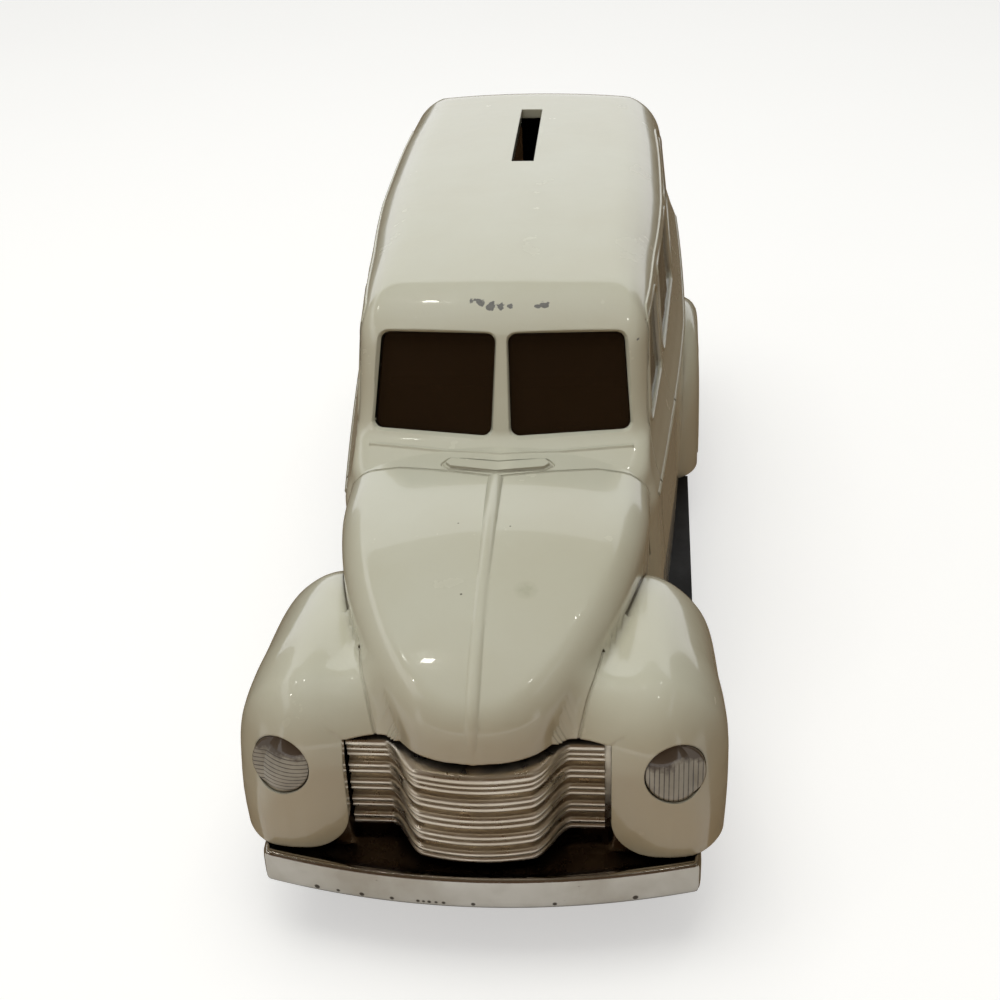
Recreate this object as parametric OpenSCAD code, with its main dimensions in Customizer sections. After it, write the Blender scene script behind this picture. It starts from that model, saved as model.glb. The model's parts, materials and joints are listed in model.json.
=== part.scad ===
// Die-cast coin bank in the shape of an early 1950s carryall wagon, at about 1:25 scale.
// Z is up, the front faces -Y, and the origin is on the ground under the middle of the bank.
// The cast skin is one formula, skin(), which says how far a point lies outside the metal.
// The shell, its hollow, the glass, the bulkhead and the raised lines are all worked out from it.

/* [Body] */
// Length over both bumpers
bank_length = 200; // [190:1:210]
// Height of the roof above the ground
roof_top = 80.5; // [78:0.5:84]
// Width of the cab at the belt line
belt_width = 68; // [65:0.5:70]
// Width of the roof above the side windows
roof_width = 58.4; // [55:0.2:60]
// Height of the bottom edge of the cab
sill_z = 12.5; // [12:0.1:13.2]
// Thickness of the cast wall
wall = 2; // [1.6:0.1:2.2]
// Thickness of the smoked glass
glass_t = 1; // [0.8:0.1:1.2]
// Width of the coin slot
slot_width = 4.6; // [4.4:0.1:6]
// Length of the coin slot
slot_length = 33; // [28:0.5:36]
// Distance of the coin slot behind the middle of the bank
slot_y = 57; // [52:0.5:62]

/* [Hood and fenders] */
// Height of the hood at its rear edge
hood_top = 55.8; // [54.5:0.1:57]
// Width of the hood at its rear edge
hood_width = 53; // [50:0.5:55]
// Width over the front fenders
fender_width = 78.2; // [77:0.1:80]
// Height of the front fenders
fender_top = 46.3; // [45:0.1:47.5]
// Width over the rear fenders
rear_fender_width = 75; // [74:0.1:77]
// Height of the rear fenders
rear_fender_top = 41.2; // [39:0.2:42]
// Width of the opening between the front fenders
grille_opening = 41.6; // [40.6:0.2:42.6]
// Diameter of the headlamps
lamp_d = 9.8; // [9:0.1:10.4]

/* [Wheels] */
// Distance between the axles
wheelbase = 118; // [116:0.5:120]
// Distance of the front axle behind the front bumper
front_overhang = 34; // [33:0.5:35]
// Diameter of a tyre
tyre_d = 28.5; // [27.5:0.1:29]
// Width of a tyre
tyre_w = 8.6; // [7.6:0.1:9]
// Distance between the middles of two tyres on one axle
track = 61; // [60:0.2:61.6]
// Diameter of an axle
axle_d = 3; // [2.6:0.1:3.2]
// Diameter of a wheel rim
rim_d = 18; // [16:0.2:19]
// Radial running clearance of an axle or the lock in its bore
run_gap = 0.07; // [0.05:0.01:0.09]

/* [Base and coin trap] */
// Height of the floor that the coins lie on
floor_z = 18.5; // [18:0.1:19]
// Thickness of the floor
floor_t = 2; // [1.6:0.1:2.2]
// Half width over the running boards
board_reach = 35.3; // [34.8:0.1:36]
// Width of the hole that the coins leave by
hole_w = 24; // [22:0.5:25]
// Length of the hole that the coins leave by
hole_l = 22; // [20:0.5:23]
// Thickness of the trap plate
trap_t = 1.2; // [1:0.1:1.3]
// Margin by which the trap covers the hole
trap_lap = 3; // [2.5:0.1:3.4]
// Diameter of the lock barrel
lock_d = 8; // [7:0.1:8.4]

/* [Grille and bumpers] */
// Number of grille bars
bar_count = 5; // [4:1:6]
// Distance from one bar to the next
bar_pitch = 3.6; // [3.2:0.05:3.8]
// Height of the middle of the lowest bar
bar_z = 19.4; // [19:0.1:20]
// Height of a bumper
bumper_h = 6; // [5:0.1:6.6]
// Height of the bottom of a bumper
bumper_z = 11.6; // [11:0.1:12.2]
// Half width of the front bumper
bumper_reach = 35; // [33:0.5:37]
// Thickness of a bumper
bumper_t = 1.8; // [1.4:0.1:2]

/* [Hidden] */

cream = "#d8d3b4";
black = "#1b1b1c";
chrome = "#c9cacb";
smoke = "#3a2c20";
tan_plastic = "#7a6248";

front_y = -bank_length / 2;
rear_y = bank_length / 2;
nose_y = front_y + 3;
tail_y = rear_y - 1.4;
axle_front = front_y + front_overhang;
axle_rear = axle_front + wheelbase;
axle_z = tyre_d / 2;
belt_z = 46;
screen_foot = 57;
screen_foot_y = -30.3;
screen_lean = 0.574;
window_foot = screen_foot - 0.8;
window_head = roof_top - 8.9;
hood_rear = -41;
lip_z = 38;
roof_round = 9;
bracket_x = 14;
bracket_w = 4;
axle_x = track / 2;
well_gap = 1.2;
well_t = 1.2;
well_r = tyre_d / 2 + well_gap;
well_in = axle_x - tyre_w / 2 - well_gap;
well_out = axle_x + tyre_w / 2 - 2.8;
bearing_in = well_in - 7;
web_t = 1.4;
board_t = 2;
board_front = axle_front + 33;
board_rear = axle_rear - 25;
base_front = front_y + 16;
base_rear = tail_y - wall - 6.5;
base_half = 26.4;
lock_x = -18.6;
lock_y = axle_rear - 34;
hole_x = 0;
hole_y = lock_y + 11;
post_front_y = axle_front - 8;
post_rear_y = base_rear - 6.1;
post_r = 3.2;
screw_d = 2.4;
bulkhead_y = lock_y - 14;
seat_rear = bulkhead_y - 3;
bulkhead_t = 1.4;
slip = 0.1;
far = 60;

// A smooth curve through a short table of [place, value] points, without overshoot.
function span_slope(t, i) = (t[i + 1][1] - t[i][1]) / (t[i + 1][0] - t[i][0]);
function knot_slope(t, i) =
    i == 0 ? span_slope(t, 0) :
    i == len(t) - 1 ? span_slope(t, i - 1) :
    let (a = span_slope(t, i - 1), b = span_slope(t, i)) a * b <= 0 ? 0 : 2 * a * b / (a + b);
function span_of(t, x, i = 0) = i >= len(t) - 2 || x < t[i + 1][0] ? i : span_of(t, x, i + 1);
function curve(t, x) =
    x <= t[0][0] ? t[0][1] :
    x >= t[len(t) - 1][0] ? t[len(t) - 1][1] :
    let (i = span_of(t, x), h = t[i + 1][0] - t[i][0], s = (x - t[i][0]) / h,
         m0 = knot_slope(t, i) * h, m1 = knot_slope(t, i + 1) * h)
    (2 * s ^ 3 - 3 * s ^ 2 + 1) * t[i][1] + (s ^ 3 - 2 * s ^ 2 + s) * m0
    + (3 * s ^ 2 - 2 * s ^ 3) * t[i + 1][1] + (s ^ 3 - s ^ 2) * m1;

function clamp(x, low, high) = min(max(x, low), high);
function ease(low, high, x) = let (s = clamp((x - low) / (high - low), 0, 1)) s * s * (3 - 2 * s);

// Two faces meet in a fillet of radius r, inside their corner.
function round_max(a, b, r) =
    let (u = max(a + r, 0), v = max(b + r, 0)) norm([u, v]) - r + min(max(a, b) + r, 0);

// Cab: side walls that taper to the front and the roof, a sloped screen, a round tail and a crowned roof.
belt_half = belt_width / 2;
roof_half = roof_width / 2;
side_table = [
    [sill_z, belt_half - 0.6], [25, belt_half], [belt_z, belt_half],
    [51, belt_half - 1.6], [56, (belt_half + roof_half) / 2 - 0.6], [70, roof_half + 0.3],
    [roof_top, roof_half]
];
tail_table = [
    [sill_z, tail_y - 3.6], [25, tail_y - 0.6], [45, tail_y], [60, tail_y - 1.1],
    [70, tail_y - 3.1], [76, tail_y - 4.6]
];
cowl_table = [
    [48, hood_rear - 5], [52, hood_rear - 2], [55.2, screen_foot_y - 4.2],
    [56.2, screen_foot_y - 1.2], [screen_foot, screen_foot_y],
    [screen_foot + 10, screen_foot_y + 10 * screen_lean],
    [roof_top + 8, screen_foot_y + (roof_top + 8 - screen_foot) * screen_lean]
];
function side_taper(y, z) =
    1 - (0.13 + 0.035 * ease(25, 46, z)) * clamp((35 - y) / 68, 0, 1.3) ^ 1.3
    - 0.045 * clamp((y - 40) / 58, 0, 1.1) ^ 2;
function cab(x, y, z) =
    let (side = x - curve(side_table, z) * side_taper(y, z),
         lean = 0.887 + 0.113 * ease(58, 54, z),
         front = (curve(cowl_table, z) + 1.6 * (x / 24) ^ 2 - y) * lean,
         tail = y - curve(tail_table, z) + 1.5 * (x / 30) ^ 2,
         top = z - roof_top + 1.3 * (x / 28) ^ 2 + ((y - 28) / 50) ^ 2,
         corner = y > 0 ? 7 : 3.5 + 5.5 * ease(56, 50, z),
         plan = round_max(side, max(front, tail), corner),
         ends = ease(60, 90, y) - 3 * ease(12, -14, y))
    round_max(plan, top, roof_round + ends);

// Hood: a bullet in plan, a bullet in profile, and a crown across.
hood_half = hood_width / 2;
hood_plan_y = hood_rear - 4;
function hood(x, y, z) =
    let (u = max((hood_plan_y - y) / (hood_plan_y - nose_y), 0), v = x / hood_half,
         plan = (v ^ 2.1 + u ^ 1.5 - 1)
             / max(norm([2.1 * v ^ 1.1 / hood_half, 1.5 * u ^ 0.5 / (hood_plan_y - nose_y)]), 0.03),
         rise = hood_top - lip_z, s = max((hood_rear - y) / (hood_rear - nose_y), 0),
         t = max((z + 2.6 * v ^ 2 - lip_z) / rise, 0),
         top = (s ^ 1.8 + t ^ 2.6 - 1)
             / max(norm([1.8 * s ^ 0.8 / (hood_rear - nose_y), 2.6 * t ^ 1.6 / rise]), 0.03))
    max(round_max(plan, top, 5), y - screen_foot_y + 1);

// Front fender: a long pontoon that falls to the running board behind the wheel.
fender_half = fender_width / 2;
fender_x = fender_half - 9.4;
fender_side_table = [
    [front_y + 8, fender_half - 0.9], [axle_front - 17, fender_half],
    [axle_front - 14, fender_half], [axle_front - 9, fender_half - 0.3], [axle_front - 3, fender_half - 1],
    [axle_front + 2, fender_half - 1.3], [axle_front + 8, fender_half - 1.7],
    [axle_front + 16, fender_half - 2.6], [axle_front + 24, fender_half - 4], [axle_front + 36, fender_half - 4.7]
];
fender_top_table = [
    [front_y + 2, fender_top - 4], [front_y + 10, fender_top - 1.3], [axle_front - 16, fender_top],
    [axle_front - 4, fender_top + 0.4], [axle_front + 3, fender_top],
    [axle_front + 10, fender_top - 1], [axle_front + 17, fender_top - 4.8],
    [axle_front + 23, fender_top - 11.6], [axle_front + 28, fender_top - 20.8],
    [axle_front + 33, fender_top - 30], [axle_front + 37, sill_z - 2]
];
function front_fender(x, y, z) =
    let (tuck = 0.3 * (max(28 - z, 0) / 11) ^ 2,
         side = x - curve(fender_side_table, y) + min(tuck, 2),
         fall = (curve(fender_top_table, y + 0.5) - curve(fender_top_table, y - 0.5)),
         top = (z - curve(fender_top_table, y) + 5.5 * (max(fender_x - x, 0) / 16) ^ 1.6)
             / norm([1, fall]),
         front = front_y + 6.2 + 2.2 * ((x - fender_x + 1) / 9) ^ 2 - y)
    round_max(round_max(side, top, 15), front, 5 + 5 * ease(22, 36, z));

// Rear fender: a half-round swelling over the rear wheel.
rear_half = rear_fender_width / 2;
rear_fender_z = 12;
function rear_fender(x, y, z) =
    let (bow = norm([(y - axle_rear) / 27, (z - rear_fender_z) / (rear_fender_top - rear_fender_z)]),
         edge = (bow - 1) * 26)
    round_max(x - rear_half, edge, 8 - 4 * ease(18, 36, z));

// Each mass of the casting: its formula in a point whose x is measured from the middle outwards,
// and the line inside it from which its cross-sections are drawn.
ground = -10;
cab_mass = function(x, y, z) max(cab(abs(x), y, z), ground - z);
hood_mass = function(x, y, z) max(hood(abs(x), y, z), ground - z);
front_mass = function(x, y, z) max(front_fender(x, y, z), ground - z, -4 - x);
rear_mass = function(x, y, z) max(rear_fender(x, y, z), ground - z, 16 - x);
cab_line = function(y) [0, 44];
hood_line = function(y) [0, 30];
front_line = function(y) [fender_x, min(28, curve(fender_top_table, y) - 9)];
rear_line = function(y) [28, 1];

// How far a point lies outside the cast skin: negative inside the metal's outline.
function skin(x, y, z) =
    let (a = abs(x)) min(cab(a, y, z), hood(a, y, z), front_fender(a, y, z), rear_fender(a, y, z));
// Half width of the skin at one place along the bank and one height.
function side_x(y, z, depth = 0, low = 0, high = 45, step = 13) =
    step == 0 ? (low + high) / 2 :
    let (m = (low + high) / 2)
    skin(m, y, z) + depth < 0 ? side_x(y, z, depth, m, high, step - 1)
        : side_x(y, z, depth, low, m, step - 1);
// Height of the skin over one place on the ground.
function top_z(x, y, depth = 0, low = 20, high = 90, step = 13) =
    step == 0 ? (low + high) / 2 :
    let (m = (low + high) / 2)
    skin(x, y, m) + depth < 0 ? top_z(x, y, depth, m, high, step - 1)
        : top_z(x, y, depth, low, m, step - 1);

// Distance from a mass's own line to its surface, set in by depth, in one direction.
function reach(mass, from, dir, depth, low = 0, high = 70, step = 14) =
    step == 0 ? (low + high) / 2 :
    let (m = (low + high) / 2, p = from + m * dir)
    mass(p[0], p[1], p[2]) + depth < 0 ? reach(mass, from, dir, depth, m, high, step - 1)
        : reach(mass, from, dir, depth, low, m, step - 1);
// A solid through one cross-section at each place in stations, one point to each turn of the
// compass, with each quad split along its shorter diagonal. Above its line a cross-section leans
// back by lean(y).
upright = function(y) 0;
module loft(mass, line, stations, turns, depth = 0, lean = upright) {
    points = [for (y = stations) let (from = [line(y)[0], y, line(y)[1]]) for (a = turns)
        let (dir = [cos(a), lean(y) * max(sin(a), 0), sin(a)])
        from + max(reach(mass, from, dir, depth), 0.05) * dir];
    m = len(turns);
    last = len(stations) - 1;
    polyhedron(
        points = points,
        faces = concat(
            [[for (i = [m - 1 : -1 : 0]) i]],
            [for (k = [0 : last - 1]) for (i = [0 : m - 1])
                let (a = k * m + i, b = k * m + (i + 1) % m)
                each norm(points[a] - points[b + m]) < norm(points[b] - points[a + m]) ?
                    [[a, b + m, a + m], [a, b, b + m]] : [[a, b, a + m], [b, b + m, a + m]]],
            [[for (i = [0 : m - 1]) last * m + i]]));
}
// Directions for a ring that is alike left and right, from a list for its right half.
function ring_turns(half) = concat(half, [for (i = [len(half) - 2 : -1 : 1]) 180 - half[i]]);
// Places along the bank that lie closer together towards one or both ends.
function eased(from, to, n) = [for (i = [0 : n]) (from + to) / 2 - (to - from) / 2 * cos(180 * i / n)];

// A round bead along a line of points.
module bead(path, r, sides = 6) {
    n = len(path);
    rings = [for (k = [0 : n - 1])
        let (d = path[min(k + 1, n - 1)] - path[max(k - 1, 0)], t = d / norm(d),
             ref = abs(t[0]) > 0.8 ? [0, 1, 0] : [1, 0, 0],
             u = cross(t, ref) / norm(cross(t, ref)), v = cross(t, u))
        [for (i = [0 : sides - 1]) path[k] + r * (cos(360 * i / sides) * u + sin(360 * i / sides) * v)]];
    polyhedron(
        points = [for (ring = rings) for (p = ring) p],
        faces = concat(
            [[for (i = [0 : sides - 1]) i]],
            [for (k = [0 : n - 2]) for (i = [0 : sides - 1])
                let (a = k * sides + i, b = k * sides + (i + 1) % sides)
                each [[a, b + sides, b], [a, a + sides, b + sides]]],
            [[for (i = [sides - 1 : -1 : 0]) (n - 1) * sides + i]]));
}

module both_sides() {
    children();
    mirror([1, 0, 0]) children();
}
module on_left() children();
module on_right() mirror([1, 0, 0]) children();

// Windows. A side window is a flat outline in Y and Z, pushed through the wall along X.
window_rear = tail_y - 20.6;
door_window = [[-24.4, window_foot], [-2.6, window_foot], [0.4, window_head], [-16, window_head]];
middle_window = [[3, window_foot], [37, window_foot], [37, window_head], [6.6, window_head]];
quarter_window = [[42, window_foot], [window_rear, window_foot], [window_rear - 2, window_head], [42, window_head]];
side_windows = [door_window, middle_window, quarter_window];
screen_rake = atan(screen_lean);
screen_top = (window_head + 1.4 - screen_foot) / cos(screen_rake);
screen_outline = [[1.8, 0.2], [23.2, 0.9], [22.5, screen_top - 0.3], [1.8, screen_top]];
rear_pane_top = window_head - 1.6 - screen_foot;
rear_outline = [[-20, 0], [20, 0], [18.5, rear_pane_top], [-18.5, rear_pane_top]];
pane_corner = 1.6;

module pane_2d(outline, inset = 0)
    offset(r = pane_corner - inset, $fn = 16) offset(delta = -pane_corner) polygon(outline);
module side_pane(outline, inset = 0)
    rotate([90, 0, 90]) linear_extrude(far, convexity = 4) pane_2d(outline, inset);
// The screen's two halves stand in a shallow vee, leaning back.
screen_vee = 4.5;
module screen_place()
    translate([0, screen_foot_y + 0.5, screen_foot - 1])
    rotate([0, 0, screen_vee]) rotate([90 - screen_rake, 0, 0]) children();
module screen_pane(from, to, inset = 0)
    screen_place() translate([0, 0, from]) linear_extrude(to - from) pane_2d(screen_outline, inset);

// The rear window leans forward with the tail.
rear_lean = 12;
module rear_pane(from, to, inset = 0)
    translate([0, tail_y - 1.2, screen_foot]) rotate([90 - rear_lean, 0, 180])
    translate([0, 0, from]) linear_extrude(to - from) pane_2d(rear_outline, inset);

module window_cutters() {
    both_sides() {
        for (w = side_windows) hull() translate([18, 0, 0]) side_pane(w);
        hull() screen_pane(-3.4, 5);
    }
    hull() rear_pane(-8, 8);
}

// Lamps sit in round pockets, square to the sloping fender front.
lamp_x = fender_half - 8.4;
lamp_z = 34;
lamp_tilt = 12;
lamp_out = 6;
module lamp_place()
    translate([lamp_x, front_y + 7.1, lamp_z]) rotate([90 - lamp_tilt, 0, lamp_out]) children();
tail_lamp_x = 27;
tail_lamp_z = 33;
tail_lamp_d = 5;

module wheel_arches()
    both_sides() for (y = [axle_front, axle_rear])
        translate([well_in + 2, y, axle_z]) rotate([0, 90, 0]) cylinder(r = well_r, h = far, $fn = 32);

// Cross-sections of the cab stand parallel to the screen in front and upright behind.
cab_lean = function(y) screen_lean * ease(8, -30, y);
cab_half_turns = [-90, -58, -42, -28, -12, 3, 12, 20, 27, 33, 38, 42, 46, 50, 55, 61, 69, 79, 90];
hood_half_turns = [-90, -50, 15, 29, 37, 44, 51, 59, 69, 79, 90];
fender_turns = [-90, -60, -25, -5, 10, 21, 31, 40, 49, 58, 67, 77, 88, 101, 115, 130, 146, 165, 225];
rear_turns = [-90, -50, 20, 45, 56, 64, 70, 74, 78, 83, 90, 100, 115, 225];
cab_rough_turns = [-90, -55, -20, 5, 20, 31, 40, 47, 55, 65, 78, 90];
hood_rough_turns = [-90, -50, -10, 20, 35, 47, 60, 75, 90];
fender_rough_turns = [-90, -50, -5, 20, 40, 60, 85, 110, 135, 160, 200];
rear_rough_turns = [-90, -40, 20, 50, 65, 80, 95, 125, 180];
screen_place_y = screen_foot_y - (screen_foot - cab_line(0)[1]) * screen_lean;
cab_places = concat([for (s = [-8, -6, -4.2, -2.4, -0.9, -0.1, 0.25, 0.7, 1.5, 2.6, 4, 6.5, 10, 15, 21, 28])
        screen_place_y + s],
    [for (i = [0 : 6]) 2 + 12 * i],
    [for (i = [1 : 8]) let (s = i / 8) 74 + (tail_y - 74.15) * (1 - (1 - s) ^ 2)]);
cab_rough_places = concat([for (s = [-8, -6.5, -4.5, -2.4, -0.6, 0.8, 2.2, 3.2, 5, 9, 15, 25]) screen_place_y + wall + s],
    [for (i = [0 : 5]) 4 + 14 * i],
    [for (i = [1 : 4]) let (s = i / 4) 74 + (tail_y - wall - 74.3) * (1 - (1 - s) ^ 2)]);

module masses(depth, rough) {
    gap = depth + 0.1;
    loft(cab_mass, cab_line, rough ? cab_rough_places : cab_places,
         ring_turns(rough ? cab_rough_turns : cab_half_turns), depth, cab_lean);
    loft(hood_mass, hood_line,
         [for (i = [0 : rough ? 6 : 14]) nose_y + gap + (64 - depth) * (i / (rough ? 6 : 14)) ^ 2],
         ring_turns(rough ? hood_rough_turns : hood_half_turns), depth);
    both_sides() {
        loft(front_mass, front_line, eased(front_y + 6.2 + gap, axle_front + 37.5, rough ? 9 : 19),
             rough ? fender_rough_turns : fender_turns, depth);
        loft(rear_mass, rear_line, eased(axle_rear - 26.9 + depth, axle_rear + 26.9 - depth, rough ? 8 : 16),
             rough ? rear_rough_turns : rear_turns, depth);
    }
}

// Ridge along the middle of the hood.
module hood_ridge()
    bead([for (i = [0 : 13]) let (y = nose_y + 1.3 + (hood_rear - 1.3 - nose_y) * i / 13)
        [0, y, top_z(0, y) - 0.2]], 0.75, 6);

module body_casting() color(cream) difference() {
    union() {
        masses(0, false);
        hood_ridge();
    }
    difference() {
        masses(wall, true);
        translate([0, post_front_y, 0]) cylinder(r = post_r, h = far * 2, $fn = 16);
        translate([0, post_rear_y, 0]) cylinder(r = post_r, h = far * 2, $fn = 16);
    }
    translate([0, post_front_y, 0]) cylinder(r = post_r + 1, h = floor_z, $fn = 16);
    translate([0, post_rear_y, 0]) cylinder(r = post_r + 1, h = floor_z, $fn = 16);
    for (y = [post_front_y, post_rear_y])
        translate([0, y, 0]) cylinder(d = screw_d + 2 * slip, h = floor_z + 8, $fn = 16);
    translate([-far, front_y - 5, sill_z - far]) cube([2 * far, bank_length + 10, far]);
    // Mouth for the grille, open to the front and below.
    translate([-grille_opening / 2, front_y - 5, 0])
        cube([grille_opening, 22, lip_z - 0.2]);
    translate([-grille_opening / 2, front_y - 5, 0])
        cube([grille_opening, 27.5, lip_z - 10]);
    translate([-far, front_y - 5, 0]) cube([2 * far, axle_front - well_r + 6 - front_y, bumper_z + bumper_h + 0.1]);
    wheel_arches();
    window_cutters();
    translate([-slot_width / 2, slot_y - slot_length / 2, roof_top - 12])
        cube([slot_width, slot_length, 20]);
    both_sides() lamp_place() translate([0, 0, -4]) cylinder(d = lamp_d, h = 12, $fn = 24);
    both_sides() translate([tail_lamp_x, tail_y + 5, tail_lamp_z])
        rotate([90, 0, 0]) cylinder(d = tail_lamp_d, h = 12, $fn = 16);
    translate([-base_half - slip, hood_rear, 0]) cube([2 * (base_half + slip), 6, floor_z + slip]);
    for (s = [-1, 1]) translate([s * bracket_x - bracket_w / 2 - slip, tail_y - 12, sill_z - 1])
        cube([bracket_w + 2 * slip, 20, floor_z - floor_t - sill_z + 1 + slip]);
}

bearing_drop = 4.8;
module wheel_well(y) {
    difference() {
        translate([well_in - well_t, y, axle_z]) rotate([0, 90, 0])
            cylinder(r = well_r + well_t, h = well_out - well_in + well_t, $fn = 64);
        translate([well_in - well_t - 1, y - far / 2, floor_z - floor_t - far])
            cube([far, far, far]);
    }
    translate([bearing_in, y - 4, floor_z - floor_t - bearing_drop])
        cube([well_in - bearing_in, 8, bearing_drop + floor_t / 2]);
}
module base_floor() {
    translate([-base_half, base_front, floor_z - floor_t])
        cube([2 * base_half, base_rear - base_front, floor_t]);
}
module running_board() {
    translate([base_half - web_t, board_front, sill_z - board_t])
        cube([board_reach - base_half + web_t, board_rear - board_front, board_t]);
    translate([base_half - web_t, board_front, sill_z - board_t])
        cube([web_t, board_rear - board_front, floor_z - floor_t / 2 - sill_z + board_t]);
}
module chassis_base() color(black) difference() {
    union() {
        base_floor();
        both_sides() {
            wheel_well(axle_front);
            wheel_well(axle_rear);
            running_board();
        }
        translate([lock_x, lock_y, floor_z - floor_t]) cylinder(d = lock_d + 5, h = floor_t + 4, $fn = 48);
    }
    both_sides() for (y = [axle_front, axle_rear]) {
        translate([bearing_in - 1, y, axle_z]) rotate([0, 90, 0])
            cylinder(r = axle_d / 2 + run_gap, h = well_in - bearing_in + 2, $fn = 48);
        translate([well_in, y, axle_z]) rotate([0, 90, 0])
            cylinder(r = well_r, h = well_out - well_in + 1, $fn = 64);
    }
    translate([lock_x, lock_y, 0]) cylinder(r = lock_d / 2 + run_gap, h = far, $fn = 48);
    translate([hole_x - hole_w / 2, hole_y - hole_l / 2, 0]) cube([hole_w, hole_l, far]);
    for (y = [post_front_y, post_rear_y]) translate([0, y, 0]) cylinder(d = screw_d, h = far, $fn = 32);
}

// Grille: a backing that bows forward in the middle, and double-ribbed bars in front of it.
bar_half = grille_opening / 2 - 0.6;
bar_flat_y = front_y + 12;
bar_bow = 8.2;
function bow(x) = let (a = abs(x))
    bar_flat_y - bar_bow * (0.72 * ease(14.5, 8.5, a) + 0.28 * (1 - (min(a, 12) / 12) ^ 2));
module bow_band(half, from, to, z, h) {
    xs = [for (i = [-15 : 15]) half * i / 15];
    translate([0, 0, z]) linear_extrude(h)
        polygon(concat([for (x = xs) [x, bow(x) + from]],
                       [for (i = [30 : -1 : 0]) [xs[i], bow(xs[i]) + to]]));
}
module front_grille() color(chrome) union() {
    bow_band(bar_half, 1.6, 3, bar_z - 1, bar_pitch * (bar_count - 1) + 3);
    for (i = [0 : bar_count - 1]) {
        z = bar_z + bar_pitch * i;
        bow_band(bar_half, -0.4, 2, z - 0.1, 1.3);
        bow_band(bar_half, 0.3, 2, z - 1, 0.9);
    }
    for (s = [-1, 1]) translate([s * 17 - 1.5, bar_flat_y + 2.5, floor_z]) cube([3, 4, 14]);
}

module bumper_band(reach, tip, centre, t, z, h, turn = 0) {
    xs = [for (i = [-16 : 16]) reach * i / 16];
    rotate([0, 0, turn]) translate([0, 0, z]) linear_extrude(h)
        polygon(concat([for (x = xs) [x, centre + tip * (x / reach) ^ 2]],
                       [for (i = [32 : -1 : 0]) [xs[i], centre + t + tip * (xs[i] / reach) ^ 2]]));
}
bumper_bow = 5;
pan_t = 1;
module front_bumper() color(chrome) union() {
    bumper_band(bumper_reach, bumper_bow, front_y, bumper_t, bumper_z, bumper_h);
    translate([0, 0, bumper_z + bumper_h - pan_t]) linear_extrude(pan_t) polygon(concat(
        [for (i = [-16 : 16]) let (x = (bumper_reach - 0.5) * i / 16)
            [x, front_y + 0.8 + bumper_bow * (x / bumper_reach) ^ 2]],
        [[bumper_reach - 1.5, base_front - 2], [-bumper_reach + 1.5, base_front - 2]]));
    for (s = [-1, 1]) translate([s * bracket_x - bracket_w / 2, front_y + 1, bumper_z + 1])
        cube([bracket_w, base_front - front_y - 1, bumper_h - 1]);
}
module rear_bumper() color(chrome) union() {
    bumper_band(bumper_reach - 1, 3.5, front_y, bumper_t, bumper_z, bumper_h, 180);
    for (s = [-1, 1]) translate([s * bracket_x - bracket_w / 2, base_rear - 6, bumper_z + 1])
        cube([bracket_w, rear_y - base_rear + 5, floor_z - floor_t - bumper_z - 1]);
}

module headlamp() lamp_place() {
    rotate_extrude($fn = 48) polygon([[0, -3], [lamp_d / 2 - slip, -3], [lamp_d / 2 - slip, 0],
        [lamp_d / 2 - 0.8, 0.5], [0, 0.9]]);
}
module headlamp_left() color(chrome) on_left() headlamp();
module headlamp_right() color(chrome) on_right() headlamp();
module tail_lamp()
    translate([tail_lamp_x, tail_y - 4.2, tail_lamp_z]) rotate([-90, 0, 0])
        cylinder(d = tail_lamp_d - 2 * slip, h = 4, $fn = 32);
module tail_lamp_left() color("darkred") on_left() tail_lamp();
module tail_lamp_right() color("darkred") on_right() tail_lamp();

glass_depth = 0.5;
glass_back = wall + 0.9;
module windscreen() color(smoke) both_sides() union() {
    screen_pane(-glass_back, -0.9, slip);
    screen_place() translate([-0.5, 1.2, -glass_back - glass_t]) cube([22.6, screen_top - 1.8, glass_t]);
}
// A thin sheet that follows the inside of the side wall. Its front edge leans back with the screen.
module side_sheet(y0, y1, z0, z1, from, to, ny, nz) {
    zs = [for (i = [0 : nz]) z0 + (z1 - z0) * i / nz];
    outer = [for (i = [0 : ny]) for (z = zs)
        let (first = y0 + screen_lean * (z - z0), y = first + (y1 - first) * i / ny) [side_x(y, z, from), y, z]];
    inner = [for (p = outer) [p[0] - to + from, p[1], p[2]]];
    w = nz + 1;
    n = len(outer);
    function at(i, j) = i * w + j;
    polyhedron(
        points = concat(outer, inner),
        faces = concat(
            [for (i = [0 : ny - 1]) for (j = [0 : nz - 1])
                each [[at(i, j), at(i, j + 1), at(i + 1, j + 1)], [at(i, j), at(i + 1, j + 1), at(i + 1, j)]]],
            [for (i = [0 : ny - 1]) for (j = [0 : nz - 1])
                each [[n + at(i, j), n + at(i + 1, j + 1), n + at(i, j + 1)],
                      [n + at(i, j), n + at(i + 1, j), n + at(i + 1, j + 1)]]],
            [for (i = [0 : ny - 1]) each [
                [at(i, 0), at(i + 1, 0), n + at(i + 1, 0), n + at(i, 0)],
                [at(i, nz), n + at(i, nz), n + at(i + 1, nz), at(i + 1, nz)]]],
            [for (j = [0 : nz - 1]) each [
                [at(0, j), n + at(0, j), n + at(0, j + 1), at(0, j + 1)],
                [at(ny, j), at(ny, j + 1), n + at(ny, j + 1), n + at(ny, j)]]]));
}
module side_glass() union() {
    for (w = side_windows) intersection() {
        side_sheet(-27, window_rear + 1, window_foot - 1.2, window_head + 1.4, glass_depth, wall + 0.4, 12, 3);
        side_pane(w, slip);
    }
    side_sheet(-22.6, window_rear - 4, window_foot + 2.3, window_head - 2.1,
        wall + 0.25, wall + 0.25 + glass_t, 12, 2);
}
module side_glass_left() color(smoke) on_left() side_glass();
module side_glass_right() color(smoke) on_right() side_glass();
module rear_glass() color(smoke) union() {
    rear_pane(-glass_back, -1.5, slip);
    rear_pane(-glass_back - glass_t, -glass_back, -1);
}

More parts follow.
